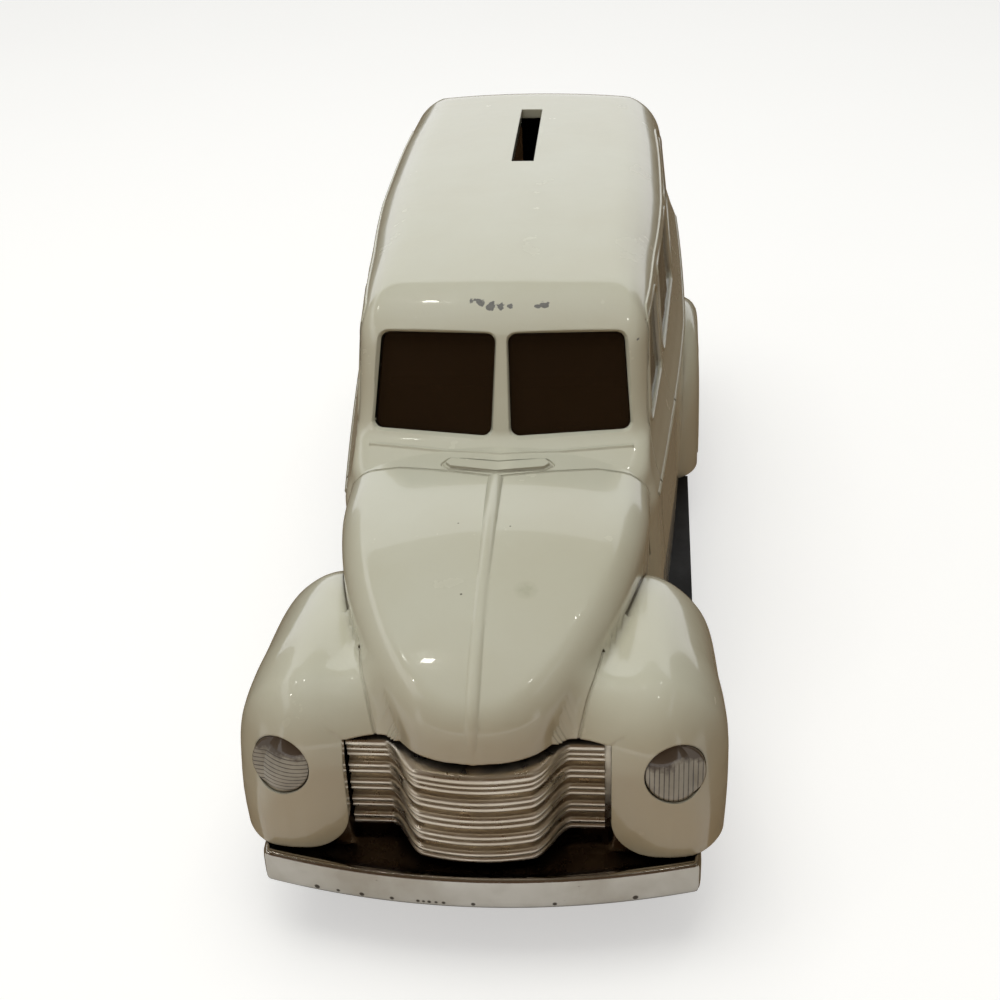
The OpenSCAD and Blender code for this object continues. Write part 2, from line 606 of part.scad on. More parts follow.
// A slice of the cab's inside, from y0 to y1 and from z0 to z1.
module cab_slice(y0, y1, z0, z1, depth) intersection() {
    loft(cab_mass, cab_line, [y0 - 1, (y0 + y1) / 2, y1 + 1], ring_turns(cab_rough_turns), depth);
    translate([-far, y0, z0]) cube([2 * far, y1 - y0, z1 - z0]);
}
dash_y = -34;
dash_t = 8;
module dashboard() color(tan_plastic)
    cab_slice(dash_y, dash_y + dash_t, 45, 52.4, wall + 0.4);
wheel_x = 12;
column_lean = 62;
module column_place() translate([wheel_x, dash_y + dash_t - 1, 48]) rotate([column_lean - 90, 0, 0])
    rotate([90, 0, 0]) mirror([0, 0, 1]) children();
module steering_column() color(black) column_place() cylinder(d = 2, h = 7, $fn = 24);
module steering_wheel() color(black) column_place() translate([0, 0, 7]) {
    rotate_extrude($fn = 64) translate([7.6, 0.6]) circle(d = 1.2, $fn = 24);
    cylinder(d = 3, h = 1.2, $fn = 24);
    for (a = [90, 210, 330]) rotate([0, 0, a]) translate([-0.5, 0, 0.2]) cube([1, 7.4, 0.8]);
}
seat_width = 48;
seat_depth = 16;
seat_h = 14;
back_h = 33;
back_t = 4;
module bench_seat() color(tan_plastic) translate([-seat_width / 2, seat_rear - seat_depth, floor_z]) union() {
    cube([seat_width, seat_depth, seat_h]);
    translate([0, seat_depth - back_t, 0]) cube([seat_width, back_t, back_h]);
}
module coin_bulkhead() color(black)
    cab_slice(bulkhead_y, bulkhead_y + bulkhead_t, floor_z, roof_top, wall + glass_t + 0.5);

module axle(y) translate([-axle_x - tyre_w / 2 + 1.5, y, axle_z]) rotate([0, 90, 0])
    cylinder(d = axle_d, h = track + tyre_w - 3, $fn = 48);
module front_axle() color("silver") axle(axle_front);
module rear_axle() color("silver") axle(axle_rear);

module wheel_place(y) translate([axle_x, y, axle_z]) rotate([0, 90, 0]) children();
module wheel(y) wheel_place(y) rotate_extrude($fn = 64) polygon([
    [axle_d / 2, -2.5], [4, -2.5], [4, -1], [rim_d / 2 - 2, -1], [rim_d / 2 - 2, -tyre_w / 2 + 0.6],
    [rim_d / 2, -tyre_w / 2 + 0.6], [rim_d / 2, tyre_w / 2 - 0.6], [rim_d / 2 - 1.6, tyre_w / 2 - 0.6],
    [rim_d / 2 - 2.4, 1], [axle_d / 2, 1]]);
module tyre(y) wheel_place(y) rotate_extrude($fn = 96) polygon([
    [rim_d / 2, -tyre_w / 2 + 0.6], [rim_d / 2 + 1, -tyre_w / 2], [tyre_d / 2 - 1.4, -tyre_w / 2],
    [tyre_d / 2 - 0.3, -tyre_w / 2 + 1], [tyre_d / 2, -tyre_w / 2 + 2], [tyre_d / 2, tyre_w / 2 - 2],
    [tyre_d / 2 - 0.3, tyre_w / 2 - 1], [tyre_d / 2 - 1.4, tyre_w / 2], [rim_d / 2 + 1, tyre_w / 2],
    [rim_d / 2, tyre_w / 2 - 0.6]]);
cap_d = 9;
module hubcap(y) wheel_place(y) rotate_extrude($fn = 64) polygon(concat(
    [[0, tyre_w / 2 - 1.5], [axle_d / 2 + 0.3, tyre_w / 2 - 1.5], [axle_d / 2 + 0.3, 1], [cap_d / 2, 1]],
    [for (i = [0 : 5]) let (a = 18 * i) [cap_d / 2 * cos(a), 1.8 + (tyre_w / 2 - 1.6) * sin(a)]]));

module wheel_front_left() color(cream) on_left() wheel(axle_front);
module wheel_front_right() color(cream) on_right() wheel(axle_front);
module wheel_rear_left() color(cream) on_left() wheel(axle_rear);
module wheel_rear_right() color(cream) on_right() wheel(axle_rear);
module tyre_front_left() color(black) on_left() tyre(axle_front);
module tyre_front_right() color(black) on_right() tyre(axle_front);
module tyre_rear_left() color(black) on_left() tyre(axle_rear);
module tyre_rear_right() color(black) on_right() tyre(axle_rear);
module hubcap_front_left() color(chrome) on_left() hubcap(axle_front);
module hubcap_front_right() color(chrome) on_right() hubcap(axle_front);
module hubcap_rear_left() color(chrome) on_left() hubcap(axle_rear);
module hubcap_rear_right() color(chrome) on_right() hubcap(axle_rear);

// Coin trap: a plate under the floor, gripped by the lock barrel and swung by its key.
trap_gap = 0.2;
trap_z = floor_z - floor_t - trap_gap - trap_t;
trap_end = lock_d / 2 + 2;
trap_reach_x = hole_x + hole_w / 2 + trap_lap - lock_x;
trap_reach_y = hole_y + hole_l / 2 + trap_lap - lock_y;
module trap_plate() color("silver") translate([lock_x, lock_y, trap_z]) difference() {
    union() {
        cylinder(r = trap_end, h = trap_t, $fn = 48);
        translate([0, -trap_end, 0]) cube([trap_reach_x, trap_end + trap_reach_y, trap_t]);
        translate([-trap_end, 0, 0]) cube([trap_end + 1, trap_reach_y, trap_t]);
    }
    translate([0, 0, -1]) cylinder(d = lock_d, h = trap_t + 2, $fn = 48);
}
module lock_barrel() color("goldenrod") difference() {
    translate([lock_x, lock_y, 0]) {
        translate([0, 0, trap_z]) cylinder(d = lock_d, h = floor_z + 5.5 - trap_z, $fn = 48);
        translate([0, 0, trap_z - 2]) cylinder(d = lock_d + 3, h = 2, $fn = 48);
    }
    translate([lock_x - 0.4, lock_y - 2.5, trap_z - 3]) cube([0.8, 5, 9]);
}
module lock_clip() color("silver") translate([lock_x, lock_y, floor_z + 4 + trap_gap])
    difference() {
        cylinder(d = lock_d + 4, h = 0.8, $fn = 48);
        translate([0, 0, -1]) cylinder(d = lock_d, h = 3, $fn = 48);
    }
module base_screws() color("silver") for (y = [post_front_y, post_rear_y])
    translate([0, y, floor_z - floor_t - 1.2]) difference() {
        union() {
            cylinder(d = 4.4, h = 1.2, $fn = 32);
            cylinder(d = screw_d, h = floor_t + 7, $fn = 32);
        }
        translate([-2.2, -0.3, -1]) cube([4.4, 0.6, 1.5]);
    }

body_casting();
chassis_base();
front_grille();
front_bumper();
rear_bumper();
headlamp_left();
headlamp_right();
tail_lamp_left();
tail_lamp_right();
windscreen();
side_glass_left();
side_glass_right();
rear_glass();
dashboard();
steering_column();
steering_wheel();
bench_seat();
coin_bulkhead();
front_axle();
rear_axle();
wheel_front_left();
wheel_front_right();
wheel_rear_left();
wheel_rear_right();
tyre_front_left();
tyre_front_right();
tyre_rear_left();
tyre_rear_right();
hubcap_front_left();
hubcap_front_right();
hubcap_rear_left();
hubcap_rear_right();
trap_plate();
lock_barrel();
lock_clip();
base_screws();
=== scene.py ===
# %% [markdown]
# # A die-cast wagon bank
# The real thing is a coin bank that fills the hand: a zinc shell with thick ivory enamel, a plated
# grille, smoked windows and four free wheels under a black base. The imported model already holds
# every working piece at its real size, so this lesson dresses it. Pieces whose shape is right only
# get a finish, and pieces that need more detail are modelled again in the same place.

# %% Load the frame
import json
import math
import bpy
import bmesh
import numpy as np
from mathutils import Matrix, Vector


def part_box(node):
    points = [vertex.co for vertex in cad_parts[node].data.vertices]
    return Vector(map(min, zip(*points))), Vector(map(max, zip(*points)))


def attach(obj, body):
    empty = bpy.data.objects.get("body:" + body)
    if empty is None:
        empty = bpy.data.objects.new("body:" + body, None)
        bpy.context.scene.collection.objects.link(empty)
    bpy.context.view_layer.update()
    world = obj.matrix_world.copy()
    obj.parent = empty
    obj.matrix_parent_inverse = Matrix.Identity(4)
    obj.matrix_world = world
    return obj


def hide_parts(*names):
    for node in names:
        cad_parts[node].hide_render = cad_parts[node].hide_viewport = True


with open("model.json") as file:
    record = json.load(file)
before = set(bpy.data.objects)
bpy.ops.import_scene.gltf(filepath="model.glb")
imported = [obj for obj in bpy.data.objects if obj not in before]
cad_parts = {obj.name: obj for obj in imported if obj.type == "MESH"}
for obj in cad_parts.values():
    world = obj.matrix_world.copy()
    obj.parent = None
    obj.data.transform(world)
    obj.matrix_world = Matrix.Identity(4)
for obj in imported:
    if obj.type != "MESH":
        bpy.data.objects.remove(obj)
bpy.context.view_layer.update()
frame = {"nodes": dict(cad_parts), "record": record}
print("nodes in the frame:", len(frame["nodes"]))

# %% [markdown]
# ## Sizes
# The pieces are worked out in millimetres, because a hand-sized object reads best that way, and
# each finished mesh is scaled to metres once. Sizes that a node of the frame has are read from its
# box. The rest are the few shape sizes of the casting, which no box can tell.

# %% Sizes from the frame, in millimetres
def box_mm(node):
    low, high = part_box(node)
    return np.array(low) * 1000, np.array(high) * 1000


casting_low, casting_high = box_mm("body_casting")
bumper_low, bumper_high = box_mm("front_bumper")
tyre_low, tyre_high = box_mm("tyre_front_left")
front_y = bumper_low[1]
rear_y = box_mm("rear_bumper")[1][1]
roof_top = casting_high[2]
sill_z = casting_low[2]
fender_half = casting_high[0]
tyre_d = tyre_high[2] - tyre_low[2]
tyre_w = tyre_high[0] - tyre_low[0]
axle_z = tyre_d / 2
axle_x = (tyre_high[0] + tyre_low[0]) / 2
axle_front = (tyre_high[1] + tyre_low[1]) / 2
axle_rear = sum(box_mm("tyre_rear_left")[i][1] for i in (0, 1)) / 2
lamp_d = 9.8
print(f"bank {rear_y - front_y:.1f} long, {2 * fender_half:.1f} wide, {roof_top:.1f} high")
print(f"axles at {axle_front:.1f} and {axle_rear:.1f}, tyres {tyre_d:.1f} by {tyre_w:.1f}")

# %% Shape sizes of the casting, in millimetres
nose_y = front_y + 3
tail_y = rear_y - 1.4
belt_half = 34
roof_half = 29.2
hood_half = 26.5
hood_top = 55.8
hood_rear = -41
lip_z = 38
fender_top = 46.3
rear_half = 37.5
rear_fender_top = 41.2
screen_foot = 57
screen_foot_y = -30.3
screen_lean = 0.574
roof_peak_y = 28
wall = 2
grille_half = 20.8

# %% [markdown]
# ## The casting as a formula
# A pressed or cast car body has no flat faces, so its shape is easier to say than to draw. Each
# mass of the body is a function that tells how far a point lies outside it: the cab, the bullet
# hood, the front fenders and the rear fenders. Two faces meet in a true fillet through round_max.
# Drawing the body by hand with subdivision surfaces would also do, but the formula keeps this skin
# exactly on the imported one.

# %% Helpers for the formulas
def curve(table, x):
    """A smooth line through a short table of places and values, without overshoot."""
    t = np.array(table, float)
    run = np.diff(t[:, 0])
    slope = np.diff(t[:, 1]) / run
    a, b = slope[:-1], slope[1:]
    middle = np.where(a * b > 0, 2 * a * b / np.where(a + b == 0, 1, a + b), 0)
    knot = np.concatenate([slope[:1], middle, slope[-1:]])
    x = np.clip(x, t[0, 0], t[-1, 0])
    i = np.clip(np.searchsorted(t[:, 0], x, "right") - 1, 0, len(t) - 2)
    s = (x - t[i, 0]) / run[i]
    return ((2 * s ** 3 - 3 * s ** 2 + 1) * t[i, 1] + (s ** 3 - 2 * s ** 2 + s) * knot[i] * run[i]
            + (3 * s ** 2 - 2 * s ** 3) * t[i + 1, 1] + (s ** 3 - s ** 2) * knot[i + 1] * run[i])


def ease(low, high, x):
    s = np.clip((x - low) / (high - low), 0, 1)
    return s * s * (3 - 2 * s)


def round_max(a, b, r):
    """Two faces that meet in a fillet of radius r."""
    return np.hypot(np.maximum(a + r, 0), np.maximum(b + r, 0)) - r + np.minimum(np.maximum(a, b) + r, 0)


# %% Cab
side_table = [[sill_z, belt_half - 0.6], [25, belt_half], [46, belt_half], [51, belt_half - 1.6],
              [56, (belt_half + roof_half) / 2 - 0.6], [70, roof_half + 0.3], [roof_top, roof_half]]
tail_table = [[sill_z, tail_y - 3.6], [25, tail_y - 0.6], [45, tail_y], [60, tail_y - 1.1],
              [70, tail_y - 3.1], [76, tail_y - 4.6]]
cowl_table = [[48, hood_rear - 5], [52, hood_rear - 2], [55.2, screen_foot_y - 4.2],
              [56.2, screen_foot_y - 1.2], [screen_foot, screen_foot_y],
              [screen_foot + 10, screen_foot_y + 10 * screen_lean],
              [roof_top + 8, screen_foot_y + (roof_top + 8 - screen_foot) * screen_lean]]


def cab(x, y, z):
    x = np.abs(x)
    # The cab narrows towards the screen, and a little towards the tail.
    taper = (1 - (0.13 + 0.035 * ease(25, 46, z)) * np.clip((35 - y) / 68, 0, 1.3) ** 1.3
             - 0.045 * np.clip((y - 40) / 58, 0, 1.1) ** 2)
    side = x - curve(side_table, z) * taper
    front = (curve(cowl_table, z) + 1.6 * (x / 24) ** 2 - y) * (0.887 + 0.113 * ease(58, 54, z))
    tail = y - curve(tail_table, z) + 1.5 * (x / 30) ** 2
    # The roof falls from its peak in one curve to the screen and in another to the tail.
    behind = y - roof_peak_y
    fall = np.where(behind < 0, 3.4 * (np.maximum(-behind, 0) / 45) ** 2.2, (behind / 50) ** 2)
    top = z - roof_top + 1.3 * (x / 28) ** 2 + fall
    corner = np.where(y > 0, 7, 3.5 + 5.5 * ease(56, 50, z))
    plan = round_max(side, np.maximum(front, tail), corner)
    return round_max(plan, top, 9 + ease(60, 90, y) - 3 * ease(12, -14, y))


# %% Hood
def hood(x, y, z):
    """A bullet: one superellipse in plan and another from the side, met in a fillet."""
    length = hood_rear - 4 - nose_y
    u = np.maximum((hood_rear - 4 - y) / length, 0)
    v = np.abs(x) / hood_half
    plan = ((v ** 2.1 + u ** 1.5 - 1)
            / np.maximum(np.hypot(2.1 * v ** 1.1 / hood_half, 1.5 * u ** 0.5 / length), 0.03))
    rise = hood_top - lip_z
    run = hood_rear - nose_y
    s = np.maximum((hood_rear - y) / run, 0)
    t = np.maximum((z + 2.6 * v ** 2 - lip_z) / rise, 0)
    top = ((s ** 1.8 + t ** 2.6 - 1)
           / np.maximum(np.hypot(1.8 * s ** 0.8 / run, 2.6 * t ** 1.6 / rise), 0.03))
    return np.maximum(round_max(plan, top, 5), y - screen_foot_y + 1)


# %% Fenders
fender_x = fender_half - 9.4
fender_side_table = [[front_y + 8, fender_half - 0.9], [axle_front - 17, fender_half],
                     [axle_front - 14, fender_half], [axle_front - 9, fender_half - 0.3],
                     [axle_front - 3, fender_half - 1], [axle_front + 2, fender_half - 1.3],
                     [axle_front + 8, fender_half - 1.7], [axle_front + 16, fender_half - 2.6],
                     [axle_front + 24, fender_half - 4], [-30, fender_half - 4.7]]
fender_top_table = [[front_y + 2, fender_top - 4], [front_y + 10, fender_top - 1.3],
                    [axle_front - 16, fender_top], [axle_front - 4, fender_top + 0.4],
                    [axle_front + 3, fender_top], [axle_front + 10, fender_top - 1],
                    [axle_front + 17, fender_top - 4.8], [axle_front + 23, fender_top - 11.6],
                    [axle_front + 28, fender_top - 20.8], [axle_front + 33, fender_top - 30],
                    [-29, sill_z - 2]]


def front_fender(x, y, z):
    """A side, a crowned top and a rounded front. The side tucks in towards the sill."""
    x = np.abs(x)
    tuck = np.minimum(0.3 * (np.maximum(28 - z, 0) / 11) ** 2, 2)
    side = x - curve(fender_side_table, y) + tuck
    fall = curve(fender_top_table, y + 0.5) - curve(fender_top_table, y - 0.5)
    crown = 5.5 * (np.maximum(fender_x - x, 0) / 16) ** 1.6
    top = (z - curve(fender_top_table, y) + crown) / np.hypot(1, fall)
    front = front_y + 6.2 + 2.2 * ((x - fender_x + 1) / 9) ** 2 - y
    return round_max(round_max(side, top, 15), front, 5 + 5 * ease(22, 36, z))


def rear_fender(x, y, z):
    """A half ellipse from the side, with a round edge."""
    bow = np.hypot((y - axle_rear) / 27, (z - 12) / (rear_fender_top - 12))
    return round_max(np.abs(x) - rear_half, (bow - 1) * 26, 8 - 4 * ease(18, 36, z))


def valley(x, y, z):
    """Hood and front fender, run together in a growing fillet where they meet above the grille."""
    a, b = hood(x, y, z), front_fender(x, y, z)
    size = 9 - 7.6 * ease(-88, -72, y)
    share = np.maximum(size - np.abs(a - b), 0) / size
    return np.minimum(a, b) - share ** 2 * size / 4


def skin(x, y, z):
    """How far a point lies outside the whole casting."""
    return np.minimum(np.minimum(cab(x, y, z), valley(x, y, z)), rear_fender(x, y, z))


print(f"skin at the middle of the roof: {float(skin(0.0, 28.0, roof_top)):.3f} mm")

# %% [markdown]
# ## From formula to mesh
# Each mass starts as a flat grid from bmesh. One way of the grid runs along the bank and the other
# goes round it, and every vertex is sent out from a line inside the mass until it meets the
# surface. Merging the doubles closes the seam, and the two open ends are filled.

# %% Helpers that make meshes
def reach(mass, start, way, depth=0.0, high=80.0, steps=26):
    """Distance from start along way to the surface of a mass, for whole arrays of points."""
    near = np.zeros(start.shape[:-1])
    far = np.full(near.shape, high)
    for _ in range(steps):
        middle = (near + far) / 2
        p = start + middle[..., None] * way
        inside = mass(p[..., 0], p[..., 1], p[..., 2]) + depth < 0
        near = np.where(inside, middle, near)
        far = np.where(inside, far, middle)
    return (near + far) / 2


def new_object(name, bm):
    """A bmesh in millimetres becomes an object that is still in millimetres."""
    mesh = bpy.data.meshes.new(name)
    bm.to_mesh(mesh)
    bm.free()
    obj = bpy.data.objects.new(name, mesh)
    bpy.context.collection.objects.link(obj)
    return obj


def numbered_grid(columns, rows):
    """A flat grid, with the column and the row of each of its vertices."""
    bm = bmesh.new()
    bmesh.ops.create_grid(bm, x_segments=columns - 1, y_segments=rows - 1, size=0.5)
    cells = (np.array([v.co[:2] for v in bm.verts]) + 0.5) * (columns - 1, rows - 1)
    return bm, *np.rint(cells).astype(int).T


def placed(bm, places):
    """Moves every vertex to its place."""
    for v, place in zip(bm.verts, places):
        v.co = place


def lofted(name, mass, line, stations, turns, depth=0.0, lean=lambda y: 0.0):
    """A closed mesh of a mass. stations are places along Y, turns are angles in degrees."""
    angles = np.radians(np.append(turns, turns[0] + 360))
    bm, i, j = numbered_grid(len(stations), len(angles))
    y = np.asarray(stations, float)[i]
    a = angles[j]
    start = np.stack([line(y)[0], y, line(y)[1]], -1)
    way = np.stack([np.cos(a), lean(y) * np.maximum(np.sin(a), 0), np.sin(a)], -1)
    placed(bm, start + np.maximum(reach(mass, start, way, depth), 0.02)[:, None] * way)
    bmesh.ops.remove_doubles(bm, verts=bm.verts, dist=0.001)
    bmesh.ops.holes_fill(bm, edges=[e for e in bm.edges if e.is_boundary], sides=0)
    bmesh.ops.triangulate(bm, faces=[f for f in bm.faces if len(f.verts) > 4])
    bmesh.ops.recalc_face_normals(bm, faces=bm.faces)
    return new_object(name, bm)


def joined(base, tool, operation):
    """Adds, cuts or keeps the overlap with one exact boolean, and drops the tool."""
    step = base.modifiers.new("step", "BOOLEAN")
    step.operation = operation
    step.solver = "MANIFOLD"
    step.object = tool
    result = bpy.data.meshes.new_from_object(base.evaluated_get(bpy.context.evaluated_depsgraph_get()))
    base.modifiers.clear()
    old = base.data
    base.data = result
    bpy.data.meshes.remove(old)
    bpy.data.meshes.remove(tool.data)
    return base


def spread(low, high, count):
    """Places that lie closer together towards both ends."""
    return (low + high) / 2 - (high - low) / 2 * np.cos(np.pi * np.arange(count + 1) / count)


# %% Masses of the casting
ground = -10.0
valley_x, valley_reach, valley_floor, valley_sink = 16.5, 12.5, 25, 0.03
masses = {
    "cab": lambda x, y, z: np.maximum(cab(x, y, z), ground - z),
    "hood": lambda x, y, z: np.maximum(hood(x, y, z), ground - z),
    "front": lambda x, y, z: np.maximum(np.maximum(front_fender(x, y, z), ground - z), -4 - x),
    "rear": lambda x, y, z: np.maximum(np.maximum(rear_fender(x, y, z), ground - z), 16 - x),
    "valley": lambda x, y, z: np.maximum(np.maximum(valley(x, y, z) + valley_sink, valley_floor - z),
                                         np.abs(x - valley_x) - valley_reach),
}
lines = {
    "cab": lambda y: (0 * y, 0 * y + 44),
    "hood": lambda y: (0 * y, 0 * y + 30),
    "front": lambda y: (0 * y + fender_x, np.minimum(28, curve(fender_top_table, y) - 9)),
    "rear": lambda y: (0 * y + 28, 0 * y + 1),
    "valley": lambda y: (0 * y + valley_x, 0 * y + 31),
}
screen_place_y = screen_foot_y - (screen_foot - 44) * screen_lean


def cab_lean(y):
    return screen_lean * ease(8, -30, y)


def cab_stations(depth, fine):
    """Sections of the cab: crowded where the screen's face lies in one section, and at the tail."""
    near = np.array([-8, -7, -6, -5, -4, -3, -2.2, -1.5, -1, -0.6, -0.3, -0.12, 0, 0.12, 0.25, 0.4,
                     0.6, 0.8, 1.05, 1.3, 1.6, 2, 2.5, 3, 3.6, 4.3, 5, 6, 7, 8.2, 9.6, 11])
    rest = np.linspace(screen_place_y + 12.5, 74, 56 if fine else 16)
    s = np.linspace(0, 1, 25 if fine else 9)[1:]
    tail = 74 + (tail_y - depth - 74.12) * (1 - (1 - s) ** 2)
    return np.concatenate([screen_place_y + depth * 0.9 + (near if fine else near[::2]), rest, tail])


def chain(start, *runs):
    """Places from start through each run's end, where a run is an end and a count."""
    places = [[start]]
    for end, count in runs:
        places.append(np.linspace(start, end, count)[1:])
        start = end
    return np.concatenate(places)


def cab_turns(fine):
    """More rays at the roof's edge and at the belt, where the skin bends most."""
    a = chain(-90, (-10, 14), (30, 24), (56, 36), (90, 22))[::1 if fine else 3]
    return np.concatenate([a, 180 - a[-2:0:-1]])


def mirrored(source, name):
    """The same mesh on the other side, turned right way out again."""
    bm = bmesh.new()
    bm.from_mesh(source.data)
    bmesh.ops.scale(bm, vec=(-1, 1, 1), verts=bm.verts)
    bmesh.ops.reverse_faces(bm, faces=bm.faces)
    return new_object(name, bm)


def whole_skin(name, depth, fine):
    """All masses as one closed solid, set in by depth."""
    n = 1.0 if fine else 0.42
    gap = depth + 0.06
    body = lofted(name, masses["cab"], lines["cab"], cab_stations(depth, fine), cab_turns(fine),
                  depth, cab_lean)
    s = np.linspace(0, 1, int(74 * n))
    half = chain(-90, (-20, 6), (90, int(58 * n)))
    turns = np.concatenate([half, 180 - half[-2:0:-1]])
    joined(body, lofted("hood", masses["hood"], lines["hood"],
                        nose_y + gap + (64 - depth) * s ** 1.7, turns, depth), "UNION")
    round_turns = chain(-90, (-10, 7), (120, int(74 * n)), (225, int(30 * n)))
    front = lofted("front", masses["front"], lines["front"],
                   spread(front_y + 6.2 + gap, -28.5, int(96 * n)), round_turns, depth)
    joined(body, mirrored(front, "other"), "UNION")
    joined(body, front, "UNION")
    rear_turns = chain(-90, (30, 7), (110, int(64 * n)), (225, 8))
    rear_reach = 26.95 - depth
    rear = lofted("rear", masses["rear"], lines["rear"],
                  spread(axle_rear - rear_reach, axle_rear + rear_reach, int(80 * n)), rear_turns, depth)
    joined(body, mirrored(rear, "other"), "UNION")
    joined(body, rear, "UNION")
    if fine:
        y = np.arange(-96, -80, 0.05)
        nose = y[np.argmax(masses["valley"](valley_x, y, 31.0) < -0.3)]
        fillet = lofted("valley", masses["valley"], lines["valley"],
                        nose + (-68 - nose) * np.linspace(0, 1, 60) ** 1.8, np.linspace(-90, 266, 120))
        joined(body, mirrored(fillet, "other"), "UNION")
        joined(body, fillet, "UNION")
    return body


body_shell = whole_skin("body_shell", 0.0, True)
print("outer skin faces:", len(body_shell.data.polygons))

# %% [markdown]
# ## Cutting tools
# What is cut out of a casting is drawn as its own closed solid first: boxes and round pins for the
# arches and pockets, and flat outlines with rounded corners, pushed through the wall, for the
# windows. A boolean then does in one step what would take many loop cuts by hand.

# %% Helpers for cutting tools
def turned(x=0.0, y=0.0, z=0.0):
    """Turns about X, then Y, then Z, in degrees."""
    return (Matrix.Rotation(math.radians(z), 4, "Z") @ Matrix.Rotation(math.radians(y), 4, "Y")
            @ Matrix.Rotation(math.radians(x), 4, "X"))


def block(low, high, name="block"):
    bm = bmesh.new()
    bmesh.ops.create_cube(bm, size=1)
    low, high = Vector(low), Vector(high)
    bmesh.ops.scale(bm, vec=high - low, verts=bm.verts)
    bmesh.ops.translate(bm, vec=(low + high) / 2, verts=bm.verts)
    return new_object(name, bm)


def pin(radius, low, high, place, segments=48, name="pin"):
    """A round pin from low to high along the place's own Z."""
    bm = bmesh.new()
    bmesh.ops.create_cone(bm, cap_ends=True, segments=segments, radius1=radius, radius2=radius,
                          depth=high - low)
    bmesh.ops.translate(bm, vec=(0, 0, (low + high) / 2), verts=bm.verts)
    bmesh.ops.transform(bm, matrix=place, verts=bm.verts)
    bmesh.ops.recalc_face_normals(bm, faces=bm.faces)
    return new_object(name, bm)


def outline_bmesh(corners, radius, grow=0.0):
    """A flat outline whose corners are rounded to one radius, moved outwards by grow."""
    p = [Vector((x, y)) for x, y in corners]
    n = len(p)
    turn = sum(p[i].cross(p[(i + 1) % n]) for i in range(n))
    bm = bmesh.new()
    rounding = []
    for i in range(n):
        a = (p[i] - p[i - 1]).normalized()
        b = (p[(i + 1) % n] - p[i]).normalized()
        out = Vector((a.y, -a.x)) * math.copysign(1, turn)
        out_b = Vector((b.y, -b.x)) * math.copysign(1, turn)
        miter = (out + out_b) / (1 + out.dot(out_b))
        half = (math.pi - a.angle(b)) / 2
        rounding.append((bm.verts.new((*(p[i] + miter * grow), 0)), (radius + grow) / math.tan(half)))
    bm.faces.new([v for v, _ in rounding])
    for v, offset in rounding if radius + grow > 0 else []:
        bmesh.ops.bevel(bm, geom=[v], offset=offset, offset_type="OFFSET", affect="VERTICES",
                        segments=6, profile=0.5, material=-1, clamp_overlap=False)
    return bm


def plug(corners, radius, low, high, place, grow=0.0, flare=1.0, name="plug"):
    """The outline pushed from low to high along the place's own Z, flared by a factor at its high end."""
    bm = outline_bmesh(corners, radius, grow)
    bmesh.ops.translate(bm, vec=(0, 0, low), verts=bm.verts)
    top = bmesh.ops.extrude_face_region(bm, geom=bm.faces[:])["geom"]
    top = [v for v in top if isinstance(v, bmesh.types.BMVert)]
    bmesh.ops.translate(bm, vec=(0, 0, high - low), verts=top)
    middle = sum((v.co for v in top), Vector()) / len(top)
    bmesh.ops.scale(bm, vec=(flare, flare, 1), verts=top, space=Matrix.Translation(-middle))
    bmesh.ops.transform(bm, matrix=place, verts=bm.verts)
    bmesh.ops.recalc_face_normals(bm, faces=bm.faces)
    return new_object(name, bm)


def tube(path, radius, closed=False, name="tube", sides=10):
    """A round bead along a path, made by a curve's own bevel."""
    data = bpy.data.curves.new(name, "CURVE")
    data.dimensions = "3D"
    data.bevel_depth = radius
    data.bevel_resolution = max(sides // 4 - 1, 0)
    data.use_fill_caps = not closed
    line = data.splines.new("POLY")
    line.points.add(len(path) - 1)
    for point, co in zip(line.points, path):
        point.co = (*co, 1)
    line.use_cyclic_u = closed
    obj = bpy.data.objects.new(name, data)
    bpy.context.collection.objects.link(obj)
    mesh = bpy.data.meshes.new_from_object(obj.evaluated_get(bpy.context.evaluated_depsgraph_get()))
    bpy.data.curves.remove(data)
    bm = bmesh.new()
    bm.from_mesh(mesh)
    bpy.data.meshes.remove(mesh)
    bmesh.ops.remove_doubles(bm, verts=bm.verts, dist=0.0005)
    bmesh.ops.recalc_face_normals(bm, faces=bm.faces)
    return new_object(name, bm)


# %% Places of the windows and lamps
pane_corner = 1.6
window_foot = screen_foot - 0.8
window_head = roof_top - 8.9
window_rear = tail_y - 20.6
side_windows = [
    [(-24.4, window_foot), (-2.6, window_foot), (0.4, window_head), (-16, window_head)],
    [(3, window_foot), (37, window_foot), (37, window_head), (6.6, window_head)],
    [(42, window_foot), (window_rear, window_foot), (window_rear - 2, window_head), (42, window_head)],
]
screen_rake = math.degrees(math.atan(screen_lean))
screen_top = (window_head + 1.4 - screen_foot) / math.cos(math.radians(screen_rake))
screen_outline = [(1.8, 0.2), (23.2, 0.9), (22.5, screen_top - 0.3), (1.8, screen_top)]
rear_top = window_head - 1.6 - screen_foot
rear_outline = [(-20, 0), (20, 0), (18.5, rear_top), (-18.5, rear_top)]

swap = Matrix.Scale(-1, 4, (1, 0, 0))
side_place = turned(90, 0, 90)
screen_place = (Matrix.Translation((0, screen_foot_y + 0.5, screen_foot - 1)) @ turned(z=4.5)
                @ turned(x=90 - screen_rake))
rear_place = Matrix.Translation((0, tail_y - 1.2, screen_foot)) @ turned(90 - 12, 0, 180)
lamp_place = Matrix.Translation((fender_half - 8.4, front_y + 7.1, 34)) @ turned(90 - 12, 0, 6)
tail_lamp_place = Matrix.Translation((27, tail_y, 33)) @ turned(-90)
print(f"windows: {len(side_windows)} a side, screen {screen_top:.1f} mm tall")

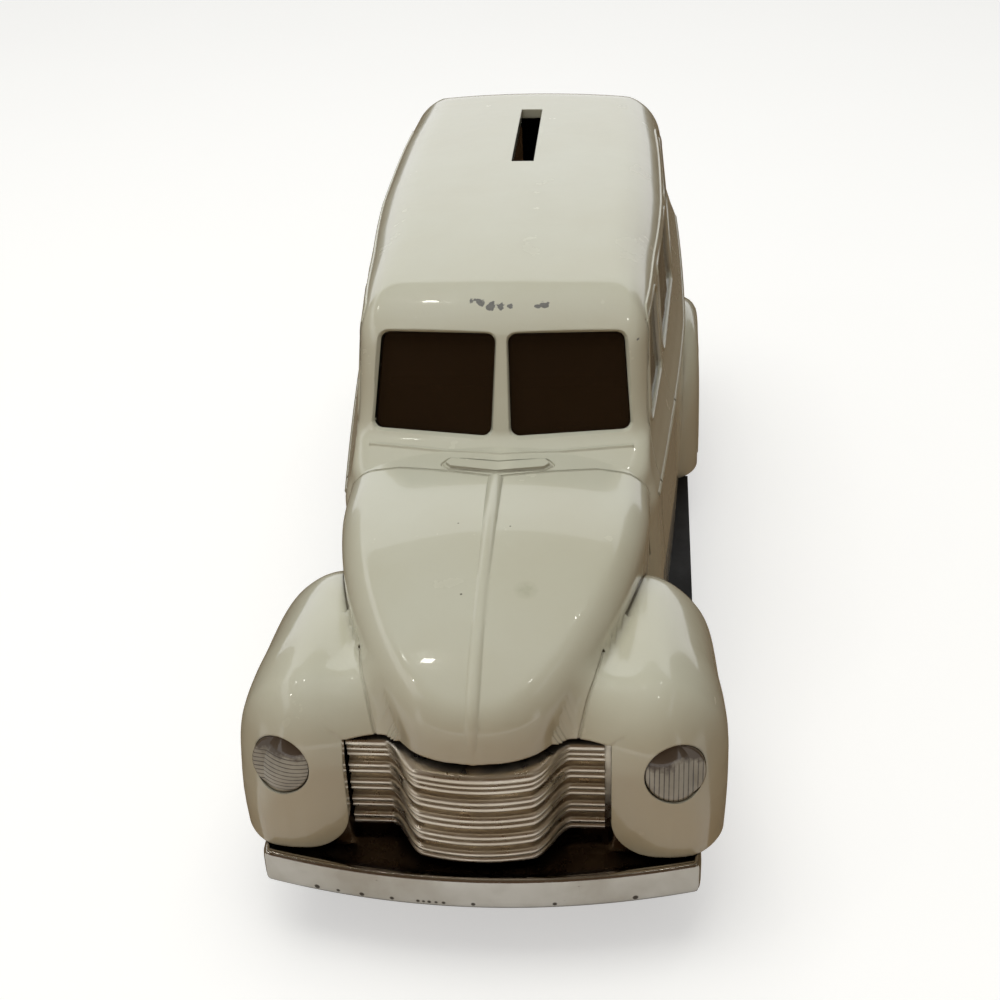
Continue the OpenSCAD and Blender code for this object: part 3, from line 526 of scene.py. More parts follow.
# %% [markdown]
# ## Lines on the skin
# A die-caster gives the model its character with thin raised beads and cut panel lines. Each is a
# round wire along a path on the skin: a bead is added and a panel line is cut. The paths are found
# with the same rays as the skin, so a line lies on the metal wherever it runs.

# %% Helpers for lines on the skin
def on_skin(start, way, mass=skin, sink=0.0, high=80.0):
    """Points of the skin met by rays from start along way, moved inwards by sink."""
    start, way = np.asarray(start, float), np.asarray(way, float)
    start, way = np.broadcast_arrays(start, way)
    return start + (reach(mass, start, way, high=high) - sink)[..., None] * way


def side_line(y, z, sink=0.0, mass=skin):
    """Points on the left flank at the given places along the bank and heights."""
    y, z = np.broadcast_arrays(np.asarray(y, float), np.asarray(z, float))
    return on_skin(np.stack([0 * y, y, z], -1), np.array([1.0, 0, 0]), mass, sink)


def top_line(x, y, sink=0.0, mass=skin):
    """Points on the top at the given places over the ground."""
    x, y = np.broadcast_arrays(np.asarray(x, float), np.asarray(y, float))
    return on_skin(np.stack([x, y, 0 * x + 20], -1), np.array([0, 0, 1.0]), mass, sink)


def rounded_path(points, radius, step=0.8):
    """A polyline with its corners rounded, resampled at an even step."""
    p = np.array(points, float)
    out = [p[0]]
    for a, b, c in zip(p[:-2], p[1:-1], p[2:]):
        ra = min(radius, np.linalg.norm(b - a) / 2.2)
        rc = min(radius, np.linalg.norm(c - b) / 2.2)
        s0 = b + (a - b) / np.linalg.norm(a - b) * ra
        s1 = b + (c - b) / np.linalg.norm(c - b) * rc
        t = np.linspace(0, 1, 8)[:, None]
        out.extend((1 - t) ** 2 * s0 + 2 * t * (1 - t) * b + t ** 2 * s1)
    out.append(p[-1])
    p = np.array(out)
    length = np.concatenate([[0], np.cumsum(np.linalg.norm(np.diff(p, axis=0), axis=1))])
    s = np.linspace(0, length[-1], max(int(length[-1] / step), 2) + 1)
    return np.stack([np.interp(s, length, p[:, k]) for k in range(p.shape[1])], -1)


def both(path):
    """A left path and its mirror image."""
    return [path, path * [-1, 1, 1]]


def ring_of(corners, radius, grow):
    bm = outline_bmesh(corners, radius, grow)
    ring = [tuple(v.co) for v in bm.faces[:][0].verts]
    bm.free()
    return np.array(ring)


# %% Raised beads: the bead's radius, its path and whether the path is closed
beads = []
a = np.radians(np.linspace(8.5, 142.2, 90))
ridge_way = np.stack([0 * a, -np.cos(a), np.sin(a)], -1)
ridge_sink = 1.15 + 0.45 * (1 - ease(8.5, 24, np.degrees(a)))
beads.append((1.5, on_skin(np.array([0.0, -70, 34]), ridge_way, hood, ridge_sink), False))


def seam_between(mass_a, mass_b, y, low, high):
    """Where the tops of two masses meet, at each place along the bank."""
    path = []
    x = np.linspace(low, high, 240)
    for place in y:
        za = top_line(x, place, mass=mass_a)[:, 2]
        zb = top_line(x, place, mass=mass_b)[:, 2]
        gap = za - zb
        cross = np.nonzero((gap[:-1] >= 0) & (gap[1:] < 0) & (za[:-1] > lip_z + 0.3))[0]
        if len(cross):
            k = cross[0]
            t = gap[k] / (gap[k] - gap[k + 1])
            path.append((x[k] + t * (x[1] - x[0]), place, za[k] + t * (za[k + 1] - za[k])))
    path = np.array(path)
    for _ in range(12):
        path[1:-1] = (path[:-2] + 2 * path[1:-1] + path[2:]) / 4
    return path


hood_seam = seam_between(hood, front_fender, np.linspace(-77, -47, 40), 6, 34)
seam_plan = [[-90.4, 14.6], [-89.4, 15.6], [-88, 16.4], [-86, 17.2], [-83, 18.3], [-77, hood_seam[0, 0]]]
y = np.linspace(-90.2, -77.6, 26)
nose_seam = top_line(curve(seam_plan, y), y)
hood_seam = np.concatenate([nose_seam, hood_seam])
x = np.linspace(-23.5, 23.5, 95)
step = top_line(x, -34.9 + 0.145 * np.abs(x), 0.25)
beads.append((0.55, step, False))
belt_z = 47
belt = rounded_path([(-34, belt_z), (tail_y - 9, belt_z)], 1, 1.5)
beads += [(0.6, path, False) for path in both(side_line(belt[:, 0], belt[:, 1], 0.35))]
drip = rounded_path([(-22.5, 58), (-14.5, 73.6), (window_rear - 1, 73.8), (window_rear + 4, 68)], 3)
beads += [(0.5, path, False) for path in both(side_line(drip[:, 0], drip[:, 1], 0.25))]
for corners in side_windows:
    ring = ring_of(corners, pane_corner, 0.45)
    beads += [(0.42, path, True) for path in both(side_line(ring[:, 0], ring[:, 1], 0.2))]
ring = ring_of(rear_outline, pane_corner, 0.5)
start = [rear_place @ Vector((x, y, -6)) for x, y, _ in ring]
way = np.array((rear_place.to_3x3() @ Vector((0, 0, 1)))[:])
beads.append((0.45, on_skin(np.array(start), way, sink=0.2, high=14), True))
for axle in (axle_front, axle_rear):
    a = np.radians(np.linspace(-4, 184, 64))
    arch_r = tyre_d / 2 + 1.6
    arch = side_line(axle + arch_r * np.cos(a), axle_z + arch_r * np.sin(a), 0.2)
    beads += [(0.5, path, False) for path in both(arch)]
print("raised beads:", len(beads))

# %% Panel lines: paths that are cut into the skin
cuts = []
a = np.radians(np.linspace(2, 178, 150))
out = np.abs(18.8 / np.tan(a))
hood_line_y = -38.1 - 4.4 * np.maximum(1 - out / 18.5, 0) - 1.8 * ease(28, 60, out)
start = np.stack([0 * a, hood_line_y, 0 * a + 37], -1)
cuts.append((0.3, on_skin(start, np.stack([np.cos(a), 0 * a, np.sin(a)], -1)), False))
vent = [(-9.6, -38.1), (-8.5, -36.5), (0, -37.8), (8.5, -36.5), (9.6, -38.1), (8.5, -39.5), (0, -41),
        (-8.5, -39.5)]
ring = ring_of(vent, 0.5, 0.25)
cuts.append((0.3, top_line(ring[:, 0], ring[:, 1]), True))
cuts += [(0.3, path, False) for path in both(hood_seam)]
door = rounded_path([(-16, 72.6), (-26.5, 56), (-30, 49), (-30, 16), (-0.6, 16), (-0.6, 56), (2.2, 73)], 2.5)
cuts += [(0.28, path, False) for path in both(side_line(door[:, 0], door[:, 1]))]
tail_z = np.linspace(sill_z + 2, 73, 60)
away = np.array([0, 1.0, 0])
cuts.append((0.28, on_skin(np.stack([0 * tail_z, 0 * tail_z + 60, tail_z], -1), away), False))
gate = rounded_path([(-25, 20), (-25, 73.5), (25, 73.5), (25, 20), (-25, 20)], 3)
cuts.append((0.28, on_skin(np.stack([gate[:-1, 0], 0 * gate[:-1, 0] + 60, gate[:-1, 1]], -1), away), True))
print("panel lines:", len(cuts))

# %% [markdown]
# ## The finished casting
# The order follows the foundry's. The hollow is cored out first, the two screw posts stand in it,
# and then the openings are cut. The beads and panel lines come last, so that they stay crisp.

# %% Hollow, posts and openings
joined(body_shell, whole_skin("hollow", wall, False), "DIFFERENCE")
post_low, post_high = box_mm("base_screws")
post_front, post_rear = post_low[1] + 2.2, post_high[1] - 2.2
floor_top = 18.5
for y, top in ((post_front, 50), (post_rear, 76)):
    joined(body_shell, pin(3.2, floor_top, top, Matrix.Translation((0, y, 0))), "UNION")
    joined(body_shell, pin(1.3, 0, floor_top + 8, Matrix.Translation((0, y, 0)), 24), "DIFFERENCE")
low_front = axle_front - tyre_d / 2 - 0.2
slot_y, slot_half, slot_side = 57, 16.5, 2.3
arch_r = tyre_d / 2 + 1.2
bracket_x = 14
corner_x, corner_z, corner_r = 26.4, 23.3, 5.6
fender_corner = [(corner_x + corner_r * math.cos(a), corner_z + corner_r * math.sin(a))
                 for a in np.linspace(-math.pi, -math.pi / 2, 13)]
fender_corner += [(corner_x, 17), (20.2, 17), (20.2, corner_z)]
openings = [
    block((-60, -120, -40), (60, 120, sill_z)),
    block((-grille_half, -120, 0), (grille_half, front_y + 17, lip_z - 0.2)),
    block((-grille_half, -120, 0), (grille_half, front_y + 22.5, lip_z - 10)),
    block((-60, -120, 0), (60, low_front, bumper_high[2] + 0.1)),
    block((-slot_side, slot_y - slot_half, roof_top - 12), (slot_side, slot_y + slot_half, roof_top + 8)),
    block((-26.5, hood_rear, 0), (26.5, hood_rear + 6, floor_top + 0.1)),
    plug(rear_outline, pane_corner, -8, 8, rear_place),
]
for mirror in (Matrix.Identity(4), swap):
    for y in (axle_front, axle_rear):
        hub = mirror @ Matrix.Translation((0, y, axle_z)) @ turned(y=90)
        openings.append(pin(arch_r, 27, 60, hub, 96))
    openings += [plug(w, pane_corner, 18, 60, mirror @ side_place) for w in side_windows]
    openings.append(plug(screen_outline, pane_corner, -3.4, 5, mirror @ screen_place))
    openings.append(plug(screen_outline, pane_corner, 0.3, 2.3, mirror @ screen_place, flare=1.12))
    openings.append(plug(fender_corner, 0, 82, 102, mirror @ turned(x=90)))
    openings.append(pin(lamp_d / 2, -4, 8, mirror @ lamp_place, 64))
    openings.append(pin(2.5, -7, 5, mirror @ tail_lamp_place, 40))
    middle = mirror.row[0][0] * bracket_x
    openings.append(block((middle - 2.1, tail_y - 12, sill_z - 1), (middle + 2.1, tail_y + 8, 16.6)))
for tool in openings:
    joined(body_shell, tool, "DIFFERENCE")
print("faces after the openings:", len(body_shell.data.polygons))

# %% Vent, beads and panel lines on the casting
joined(body_shell, plug(vent, 0.5, 50, 56.05, Matrix.Identity(4), -0.15, 0.97), "UNION")
for radius, path, closed in beads:
    joined(body_shell, tube(path, radius, closed, sides=10 if radius < 1 else 56), "UNION")
for radius, path, closed in cuts:
    joined(body_shell, tube(path, radius, closed), "DIFFERENCE")
print("faces after the lines:", len(body_shell.data.polygons))

# %% [markdown]
# ## From millimetres to a finished piece
# A finished piece sits at the origin with its place in its mesh, so the last step of each one
# scales the mesh to metres. Smooth shading with sharp edges above an angle keeps the long curves
# soft and the cut edges crisp, and weighted normals stop a boolean's thin faces from showing.

# %% Helpers that finish a piece
def finished(obj, body, slot, *nodes, sharp=38.0, finish=None):
    """Scales to metres, shades, gives the piece its body and the finish named by finish or else by its slot,
    and hides the nodes it stands for.
    """
    obj.data.transform(Matrix.Scale(0.001, 4))
    obj.data.shade_smooth()
    obj.data.set_sharp_from_angle(angle=math.radians(sharp))
    normals = obj.modifiers.new("weighted", "WEIGHTED_NORMAL")
    normals.keep_sharp = True
    normals.weight = 60
    obj.data.materials.clear()
    obj.data.materials.append(finishes[finish or slot])
    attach(obj, body)
    if nodes:
        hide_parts(*nodes)
    places = np.array([v.co[:] for v in obj.data.vertices]) * 1000
    print(obj.name, "from", places.min(axis=0).round(1), "to", places.max(axis=0).round(1))
    return obj


# %% [markdown]
# ## Finishes
# Every finish is one Principled shader with patterns on Object coordinates, so it stays put when a
# wheel turns and survives an export. A small wrapper makes the node trees short to write: it adds
# a node, sets its sockets and links what is passed as an output.

# %% A wrapper for node trees
class Look:
    """A material's node tree, with helpers for the nodes that these finishes use."""

    def __init__(self, name):
        self.material = bpy.data.materials.new(name)
        self.material.use_nodes = True
        self.tree = self.material.node_tree
        self.shader = next(n for n in self.tree.nodes if n.type == "BSDF_PRINCIPLED")
        self.place = self.add("ShaderNodeTexCoord").outputs["Object"]

    def add(self, kind, sockets=None, **values):
        node = self.tree.nodes.new(kind)
        for key, value in values.items():
            setattr(node, key, value)
        for key, value in (sockets or {}).items():
            self.put(node.inputs[key], value)
        return node

    def put(self, socket, value):
        if isinstance(value, bpy.types.NodeSocket):
            self.tree.links.new(value, socket)
        else:
            socket.default_value = value

    def set(self, **sockets):
        """Sockets of the shader, with underscores for spaces."""
        for key, value in sockets.items():
            self.put(self.shader.inputs[key.replace("_", " ")], value)

    def noise(self, size, detail):
        """Soft noise whose blotches are about size millimetres wide."""
        return self.add("ShaderNodeTexNoise", {"Vector": self.place, "Scale": 1000 / size, "Detail": detail,
                                               "Roughness": 0.55}).outputs["Fac"]

    def ramp(self, value, low, high, to_low=0.0, to_high=1.0):
        return self.add("ShaderNodeMapRange", {"Value": value, "From Min": low, "From Max": high,
                                               "To Min": to_low, "To Max": to_high}).outputs[0]

    def math(self, operation, a, b=0.0):
        return self.add("ShaderNodeMath", {0: a, 1: b}, operation=operation).outputs[0]

    def mix(self, factor, a, b):
        node = self.add("ShaderNodeMix", data_type="RGBA")
        for index, value in ((0, factor), (6, a), (7, b)):
            self.put(node.inputs[index], value)
        return node.outputs[2]

    def bump(self, height, strength, distance, normal=None):
        node = self.add("ShaderNodeBump", {"Height": height, "Strength": strength, "Distance": distance})
        if normal is not None:
            self.put(node.inputs["Normal"], normal)
        return node.outputs[0]

    def creases(self, distance):
        """Painted shade: dark where the surface faces something within distance metres."""
        node = self.add("ShaderNodeAmbientOcclusion", {"Distance": distance}, samples=8)
        return node.outputs["AO"]

    def spots(self, balls):
        """Distance in metres to the nearest of some balls, given as centres and radii in millimetres."""
        nearest = 1.0
        for centre, radius in balls:
            gap = self.add("ShaderNodeVectorMath", {0: self.place, 1: [c / 1000 for c in centre]},
                           operation="DISTANCE").outputs["Value"]
            nearest = self.math("MINIMUM", nearest, self.math("SUBTRACT", gap, radius / 1000))
        return nearest


def srgb(red, green, blue):
    """A colour given as the eye sees it, from 0 to 255, turned into light."""
    return tuple(c / 12.92 if c < 0.04045 else ((c + 0.055) / 1.055) ** 2.4
                 for c in (red / 255, green / 255, blue / 255)) + (1.0,)


# %% Ivory enamel
chips = [((-2.2, -17.1, 75.7), 0.9), ((-3.9, -16.5, 76.0), 0.75), ((-5.6, -16.0, 76.3), 0.5),
         ((-0.4, -17.2, 75.6), 0.75), ((1.4, -17.1, 75.7), 0.45), ((6.2, -17.2, 75.6), 0.4),
         ((7.4, -16.7, 75.9), 0.6), ((24.0, -20.2, 70.6), 0.3)]
specks = [((3.5, -56.6, 55.1), 0.16), ((-3.2, -72.8, 53.0), 0.2), ((-22.6, -57.5, 47.8), 0.22),
          ((-23.1, -61.0, 46.0), 0.2), ((9.4, -37.6, 55.9), 0.15), ((-5.2, -55.9, 55.1), 0.15)]


def cream_enamel():
    look = Look("cream_enamel")
    clean = look.mix(look.ramp(look.noise(55, 2), 0.3, 0.7), srgb(213, 211, 192), srgb(208, 204, 182))
    clean = look.mix(look.ramp(look.noise(16, 5), 0.35, 0.8, 0, 0.3), clean, srgb(199, 191, 164))
    # Creases and recesses darken to brown srgb(104, 86, 60): painted shade from the occlusion node, made
    # patchy like grime.
    crease_shade_and_grime = look.ramp(look.creases(0.0016), 0.74, 0.3, 0, 0.85)
    crease_shade_and_grime = look.math("MULTIPLY", crease_shade_and_grime, look.ramp(look.noise(3, 5), 0.25, 0.7, 0.4, 1.0))
    colour = look.mix(crease_shade_and_grime, clean, srgb(104, 86, 60))
    ragged = look.ramp(look.noise(1.1, 4), 0.3, 0.7, -0.0006, 0.0006)
    chipped = look.ramp(look.math("ADD", look.spots(chips), ragged), 0.00006, -0.00006)
    colour = look.mix(chipped, colour, look.mix(look.noise(0.5, 3), srgb(96, 96, 94), srgb(142, 140, 134)))
    dotted = look.ramp(look.spots(specks), 0.00005, -0.00005, 0, 0.8)
    colour = look.mix(dotted, colour, srgb(70, 60, 46))
    stained = look.ramp(look.spots([((7.0, -71.5, 53.0), 0.6)]), 0.0016, -0.0004, 0, 0.5)
    colour = look.mix(look.math("MULTIPLY", stained, look.noise(0.9, 3)), colour, srgb(132, 134, 92))
    rough = look.ramp(look.noise(9, 5), 0.3, 0.75, 0.16, 0.3)
    look.set(Base_Color=colour, Roughness=look.math("MAXIMUM", rough, look.math("MULTIPLY", chipped, 0.5)))
    look.set(IOR=1.5, Coat_Weight=0.8, Coat_Roughness=0.03)
    edge = look.add("ShaderNodeBevel", {"Radius": 0.0004}, samples=4).outputs[0]
    height = look.math("SUBTRACT", look.noise(2.6, 3), look.math("MULTIPLY", chipped, 0.9))
    look.set(Normal=look.bump(height, 0.1, 0.0004, edge))
    return look.material


# %% Bright plating
pits = [((x, -100 + 0.0041 * x * x, 12.6), size) for x, size in
        ((-26, 0.45), (-22.5, 0.3), (-18.6, 0.4), (-13.7, 0.35), (-9.5, 0.3), (-8.6, 0.25), (-7.7, 0.3),
         (-6.6, 0.25), (-5.4, 0.3), (-0.7, 0.35), (12.1, 0.35), (24.7, 0.45))]


def plate(name, bright, dull, dirt, depth, rough):
    """Plating that dulls in soft clouds, darkens where it is shut in (painted shade with grime), and has
    pin-prick rust.
    """
    look = Look(name)
    tone = look.mix(look.ramp(look.noise(12, 4), 0.35, 0.7), srgb(*bright), srgb(*dull))
    # Painted shade: the occlusion node darkens shut-in places to the dirt colour.
    crease_shade_and_grime = look.ramp(look.creases(depth), 0.7, 0.2)
    pricks = look.ramp(look.noise(1.3, 2), 0.755, 0.79, 0, 0.9)
    if name == "bright_plate":
        pricks = look.math("MAXIMUM", pricks, look.ramp(look.spots(pits), 0.00008, -0.00008, 0, 0.9))
    colour = look.mix(look.math("MAXIMUM", crease_shade_and_grime, pricks), tone, srgb(*dirt))
    look.set(Base_Color=colour, Metallic=1.0)
    look.set(Roughness=look.ramp(look.noise(3, 5), 0.3, 0.8, rough * 0.6, rough * 1.5))
    look.set(Normal=look.bump(look.noise(4, 3), 0.1, 0.0005))
    return look.material


def lamp_lens():
    """A silvered lens with fine lines: upright on the left lamp, level on the right one."""
    look = Look("lamp_lens")
    axis = look.add("ShaderNodeSeparateXYZ", {0: look.place}).outputs
    left = look.ramp(axis["X"], -0.001, 0.001)
    upright = look.math("MULTIPLY", axis["X"], 1000 / 0.74)
    level = look.math("ADD", look.math("MULTIPLY", axis["Z"], 1000 / 0.7),
                      look.math("MULTIPLY", axis["X"], 60))
    across = look.math("ADD", look.math("MULTIPLY", upright, left),
                       look.math("MULTIPLY", level, look.math("SUBTRACT", 1.0, left)))
    wave = look.math("ABSOLUTE", look.math("SUBTRACT", look.math("FRACT", across), 0.5))
    line = look.math("MULTIPLY", look.ramp(wave, 0.34, 0.44), look.ramp(axis["Z"], 0.0362, 0.0356))
    line = look.math("MULTIPLY", line, look.ramp(look.noise(2.5, 3), 0.3, 0.6, 0.5, 1))
    tone = look.mix(look.ramp(look.noise(5, 3), 0.35, 0.7), srgb(176, 170, 156), srgb(146, 138, 122))
    # Above a ragged line near its top the lens is painted dark brown. This is a painted reflection of a dark
    # room and painted shade from the pocket's upper edge.
    uneven = look.math("ADD", axis["Z"], look.ramp(look.noise(2.2, 4), 0.3, 0.7, -0.0009, 0.0009))
    painted_dark_top = look.ramp(uneven, 0.0352, 0.0362, 0, 0.9)
    tone = look.mix(painted_dark_top, look.mix(line, tone, srgb(62, 52, 42)), srgb(74, 58, 44))
    look.set(Base_Color=tone, Metallic=0.3, Roughness=0.3, Coat_Weight=1.0, Coat_Roughness=0.04)
    look.set(Normal=look.bump(line, 0.3, 0.0003))
    return look.material


# %% Smoked glass, rubber, plastics and small metal parts
def plain(name, colour, dirt, roughness, metallic=0.0, grain=1.2, depth=0.08, blotch=8, **sockets):
    """A moulded or metal surface: two tones in soft blotches, uneven sheen and a fine grain."""
    look = Look(name)
    tone = look.mix(look.ramp(look.noise(blotch, 4), 0.4, 0.75), srgb(*colour), srgb(*dirt))
    look.set(Base_Color=tone, Metallic=metallic, **sockets)
    look.set(Roughness=look.ramp(look.noise(blotch / 3, 4), 0.3, 0.75, roughness * 0.8, roughness * 1.25))
    look.set(Normal=look.bump(look.noise(grain, 3), depth, 0.0003))
    return look.material


def smoked_glass():
    look = Look("smoked_glass")
    look.set(Base_Color=look.mix(look.noise(15, 2), srgb(74, 54, 34), srgb(60, 43, 27)))
    look.set(Roughness=look.ramp(look.noise(6, 4), 0.4, 0.8, 0.05, 0.16), IOR=1.49)
    look.set(Transmission_Weight=0.7, Normal=look.bump(look.noise(20, 2), 0.05, 0.0004))
    return look.material


finishes = {
    "cream_enamel": cream_enamel(),
    "bright_plate": plate("bright_plate", (208, 203, 195), (180, 172, 160), (46, 34, 24), 0.0025, 0.2),
    "grille_plate": plate("grille_plate", (240, 230, 214), (214, 200, 180), (84, 64, 46), 0.0009, 0.36),
    # A dark brown copy of the plating for the pan under the grille: painted shade.
    "shaded_pan_plate": plate("shaded_pan_plate", (98, 84, 68), (70, 56, 44), (40, 30, 22), 0.006, 0.3),
    "lamp_lens": lamp_lens(),
    # Near black for the unpainted inside of the casting: the bare metal is given painted shade, much darker
    # than bare zinc.
    "bare_inside_painted_shade": plain("bare_inside_painted_shade", (30, 28, 25), (20, 18, 16), 0.8, Specular_IOR_Level=0.1),
    "smoked_glass": smoked_glass(),
    "black_enamel": plain("black_enamel", (15, 15, 16), (27, 25, 23), 0.45, blotch=14,
                          Specular_IOR_Level=0.2),
    "lamp_red": plain("lamp_red", (120, 14, 10), (80, 8, 6), 0.15, Transmission_Weight=0.35),
    "interior_plastic": plain("interior_plastic", (112, 88, 62), (90, 68, 46), 0.5),
    "black_plastic": plain("black_plastic", (22, 21, 20), (34, 31, 28), 0.5, grain=0.5),
    "bare_steel": plain("bare_steel", (150, 148, 144), (118, 110, 98), 0.34, 1.0, grain=0.4),
    "tyre_rubber": plain("tyre_rubber", (28, 27, 26), (52, 48, 43), 0.72, grain=0.5, depth=0.2),
    "lock_brass": plain("lock_brass", (190, 150, 84), (138, 102, 52), 0.3, 1.0, grain=0.5),
}
print("finishes:", ", ".join(finishes))

# %% The casting gets its finish
finished(body_shell, "shell", "cream_enamel", "body_casting")
# Faces well inside the skin get the near-black finish, which paints the shade inside the hollow body.
body_shell.data.materials.append(finishes["bare_inside_painted_shade"])
faces = body_shell.data.polygons
centres = np.empty(3 * len(faces))
faces.foreach_get("center", centres)
x, y, z = centres.reshape(-1, 3).T * 1000
deep = (skin(x, y, z) < -1.35) & (z > sill_z + 0.1)
faces.foreach_set("material_index", deep.astype(np.int32))
print("faces left as cast inside:", int(deep.sum()), "of", len(faces))

# %% [markdown]
# ## Grille
# The real grille is one plated casting. Five bars run straight at their ends and bow forward under
# the nose, and each bar is a pair of rounded ribs with a fine line between them. A bar has one
# section all along, so it is swept: a flat grid becomes the skin of the bar, with the section
# turned square to the bow at every step.

# %% Helper for swept bars
def swept(name, stations, section, path):
    """A closed section carried along a path. path(s) gives places and forward ways for stations."""
    section = np.array(section, float)
    bm, i, j = numbered_grid(len(stations), len(section) + 1)
    j = j % len(section)
    place, forward = path(np.asarray(stations, float)[i])
    placed(bm, place + section[j, :1] * forward + section[j, 1:] * np.array([0, 0, 1.0]))
    bmesh.ops.remove_doubles(bm, verts=bm.verts, dist=0.0005)
    bmesh.ops.holes_fill(bm, edges=[e for e in bm.edges if e.is_boundary], sides=0)
    bmesh.ops.recalc_face_normals(bm, faces=bm.faces)
    return new_object(name, bm)


def rib(middle, radius, forward, n=7):
    """A rounded rib of a section: points from its bottom over its front to its top."""
    t = np.linspace(-math.pi / 2, math.pi / 2, n)
    return [(forward * math.cos(a), middle + radius * math.sin(a)) for a in t]


# %% Bars of the grille
bar_half = box_mm("front_grille")[1][0]
bar_pitch, bar_z = 3.6, 19.4
bar_flat_y, bar_bow = front_y + 12, 8.2


def bow(x):
    a = np.abs(x)
    return bar_flat_y - bar_bow * (0.72 * ease(14.5, 8.5, a) + 0.28 * (1 - (np.minimum(a, 12) / 12) ** 2))


def bow_path(x):
    slope = (bow(x + 0.05) - bow(x - 0.05)) / 0.1
    length = np.hypot(slope, 1)
    return (np.stack([x, bow(x), 0 * x], -1), np.stack([slope / length, -1 / length, 0 * x], -1))


def level(z):
    """The bow's path at one height."""
    return lambda x: (bow_path(x)[0] + [0, 0, z], bow_path(x)[1])


bar_places = np.linspace(-bar_half - 0.45, bar_half - 0.5, 101)
bar_section = [(-2, -1.3)] + rib(-0.66, 0.62, 0.6) + rib(0.66, 0.64, 0.75) + [(-2, 1.4)]
top_section = ([(-2, -1.3)] + rib(-0.72, 0.58, 0.55) + rib(0.42, 0.56, 0.65) + rib(1.8, 0.82, 1.0)
               + [(-2, 2.9)])
back_section = [(-0.9, -1.9), (-0.9, 17), (-3, 17), (-3, -1.9)]
grille = swept("grille", np.append(bar_places, bar_half + 0.45), back_section, level(bar_z))
for k in range(5):
    section = top_section if k == 4 else bar_section
    joined(grille, swept("bar", bar_places, section, level(bar_z + bar_pitch * k)), "UNION")
for side in (-1, 1):
    joined(grille, block((side * 17 - 1.5, bar_flat_y + 2.5, floor_top),
                         (side * 17 + 1.5, bar_flat_y + 6.5, floor_top + 14)), "UNION")
finished(grille, "shell", "bright_plate", "front_grille", sharp=50, finish="grille_plate")

# %% [markdown]
# ## Bumpers
# The front bumper is a plated pressing: a bowed face whose ends curl back, and a dished pan that
# runs back under the grille. The face is swept round its path. The pan is a grid whose height is
# worked out at every vertex, thickened by extruding it. The rear bumper is the plain band.

# %% Helpers for bowed pressings
def pushed(bm, way):
    """Extrudes all the faces of a bmesh along a way."""
    made = bmesh.ops.extrude_face_region(bm, geom=bm.faces[:])["geom"]
    bmesh.ops.translate(bm, vec=way, verts=[v for v in made if isinstance(v, bmesh.types.BMVert)])


def pressing(arc, back, radius, low, high, edge):
    """A plan pushed from low to high, with the arc's two ends rounded and all its edges bevelled."""
    bm = bmesh.new()
    verts = [bm.verts.new((x, y, low)) for x, y in arc + back]
    bm.faces.new(verts)
    for v in (verts[0], verts[len(arc) - 1]):
        bmesh.ops.bevel(bm, geom=[v], offset=radius, affect="VERTICES", segments=6, profile=0.5,
                        material=-1)
    pushed(bm, (0, 0, high - low))
    bmesh.ops.recalc_face_normals(bm, faces=bm.faces)
    rims = [e for e in bm.edges if abs(e.verts[0].co.z - e.verts[1].co.z) < 0.001]
    bmesh.ops.bevel(bm, geom=rims, offset=edge, offset_type="OFFSET", affect="EDGES", segments=4,
                    profile=0.5, material=-1, clamp_overlap=True)
    return bm


# %% Front bumper with its pan
bumper_reach, bumper_bow = bumper_high[0], 5.0


def bumper_face(x):
    return front_y + bumper_bow * (x / bumper_reach) ** 2


x = np.linspace(-bumper_reach, bumper_reach, 41)
tip = [(bumper_reach, front_y + 11)]
line = rounded_path([(-tip[0][0], tip[0][1])] + list(zip(x, bumper_face(x))) + tip, 2.6, 0.6)


def bumper_path(s):
    k = np.arange(len(line))
    place = np.stack([np.interp(s, k, line[:, 0]), np.interp(s, k, line[:, 1]), 0 * s], -1)
    slope = np.gradient(line, axis=0)
    along = np.stack([np.interp(s, k, slope[:, 0]), np.interp(s, k, slope[:, 1])], -1)
    along /= np.linalg.norm(along, axis=1, keepdims=True)
    return place, np.stack([along[:, 1], -along[:, 0], 0 * s], -1)


low, top = bumper_low[2], bumper_high[2]
face_section = [(-1.5, low), (-0.6, low), (-0.2, low + 0.15), (-0.05, low + 0.6), (0, low + 1.4),
                (0, top - 1.4), (-0.06, top - 0.7), (-0.25, top - 0.2), (-0.6, top),
                (-0.95, top - 0.05), (-1.3, top - 0.4), (-1.5, top - 1)]
front_bumper = swept("bumper_front", np.arange(len(line)), face_section, bumper_path)
bm = bmesh.new()
bmesh.ops.create_grid(bm, x_segments=120, y_segments=36, size=1)
for v in bm.verts:
    x = v.co.x * (bumper_reach - 1.2)
    near = bumper_face(x) + 0.9
    y = near + (v.co.y + 1) / 2 * (front_y + 14 - near)
    rim = 0.9 * math.exp(-((y - near) / 1.3) ** 2)
    skirt = 6.8 * float(ease(front_y + 8.2, front_y + 13, y) * ease(20.3, 21.4, abs(x)))
    v.co = (x, y, top - 1.25 + rim + skirt + 0.4 * float(ease(0, 30, abs(x))))
pushed(bm, (0, 0, -1))
bmesh.ops.recalc_face_normals(bm, faces=bm.faces)
joined(front_bumper, new_object("pan", bm), "UNION")
for side in (-1, 1):
    joined(front_bumper, block((side * bracket_x - 2, front_y + 1, low + 1),
                               (side * bracket_x + 2, bumper_high[1], top - 1.4)), "UNION")
finished(front_bumper, "shell", "bright_plate", "front_bumper", sharp=55)
# The pan's upward faces take the dark copy of the plating, which paints the shade under the grille.
front_bumper.data.materials.append(finishes["shaded_pan_plate"])
for face in front_bumper.data.polygons:
    x, y, z = face.center * 1000
    on_pan = y - bumper_face(x) > 1.45 and abs(x) < bumper_reach - 1.2
    face.material_index = int(on_pan and face.normal.z > -0.2)

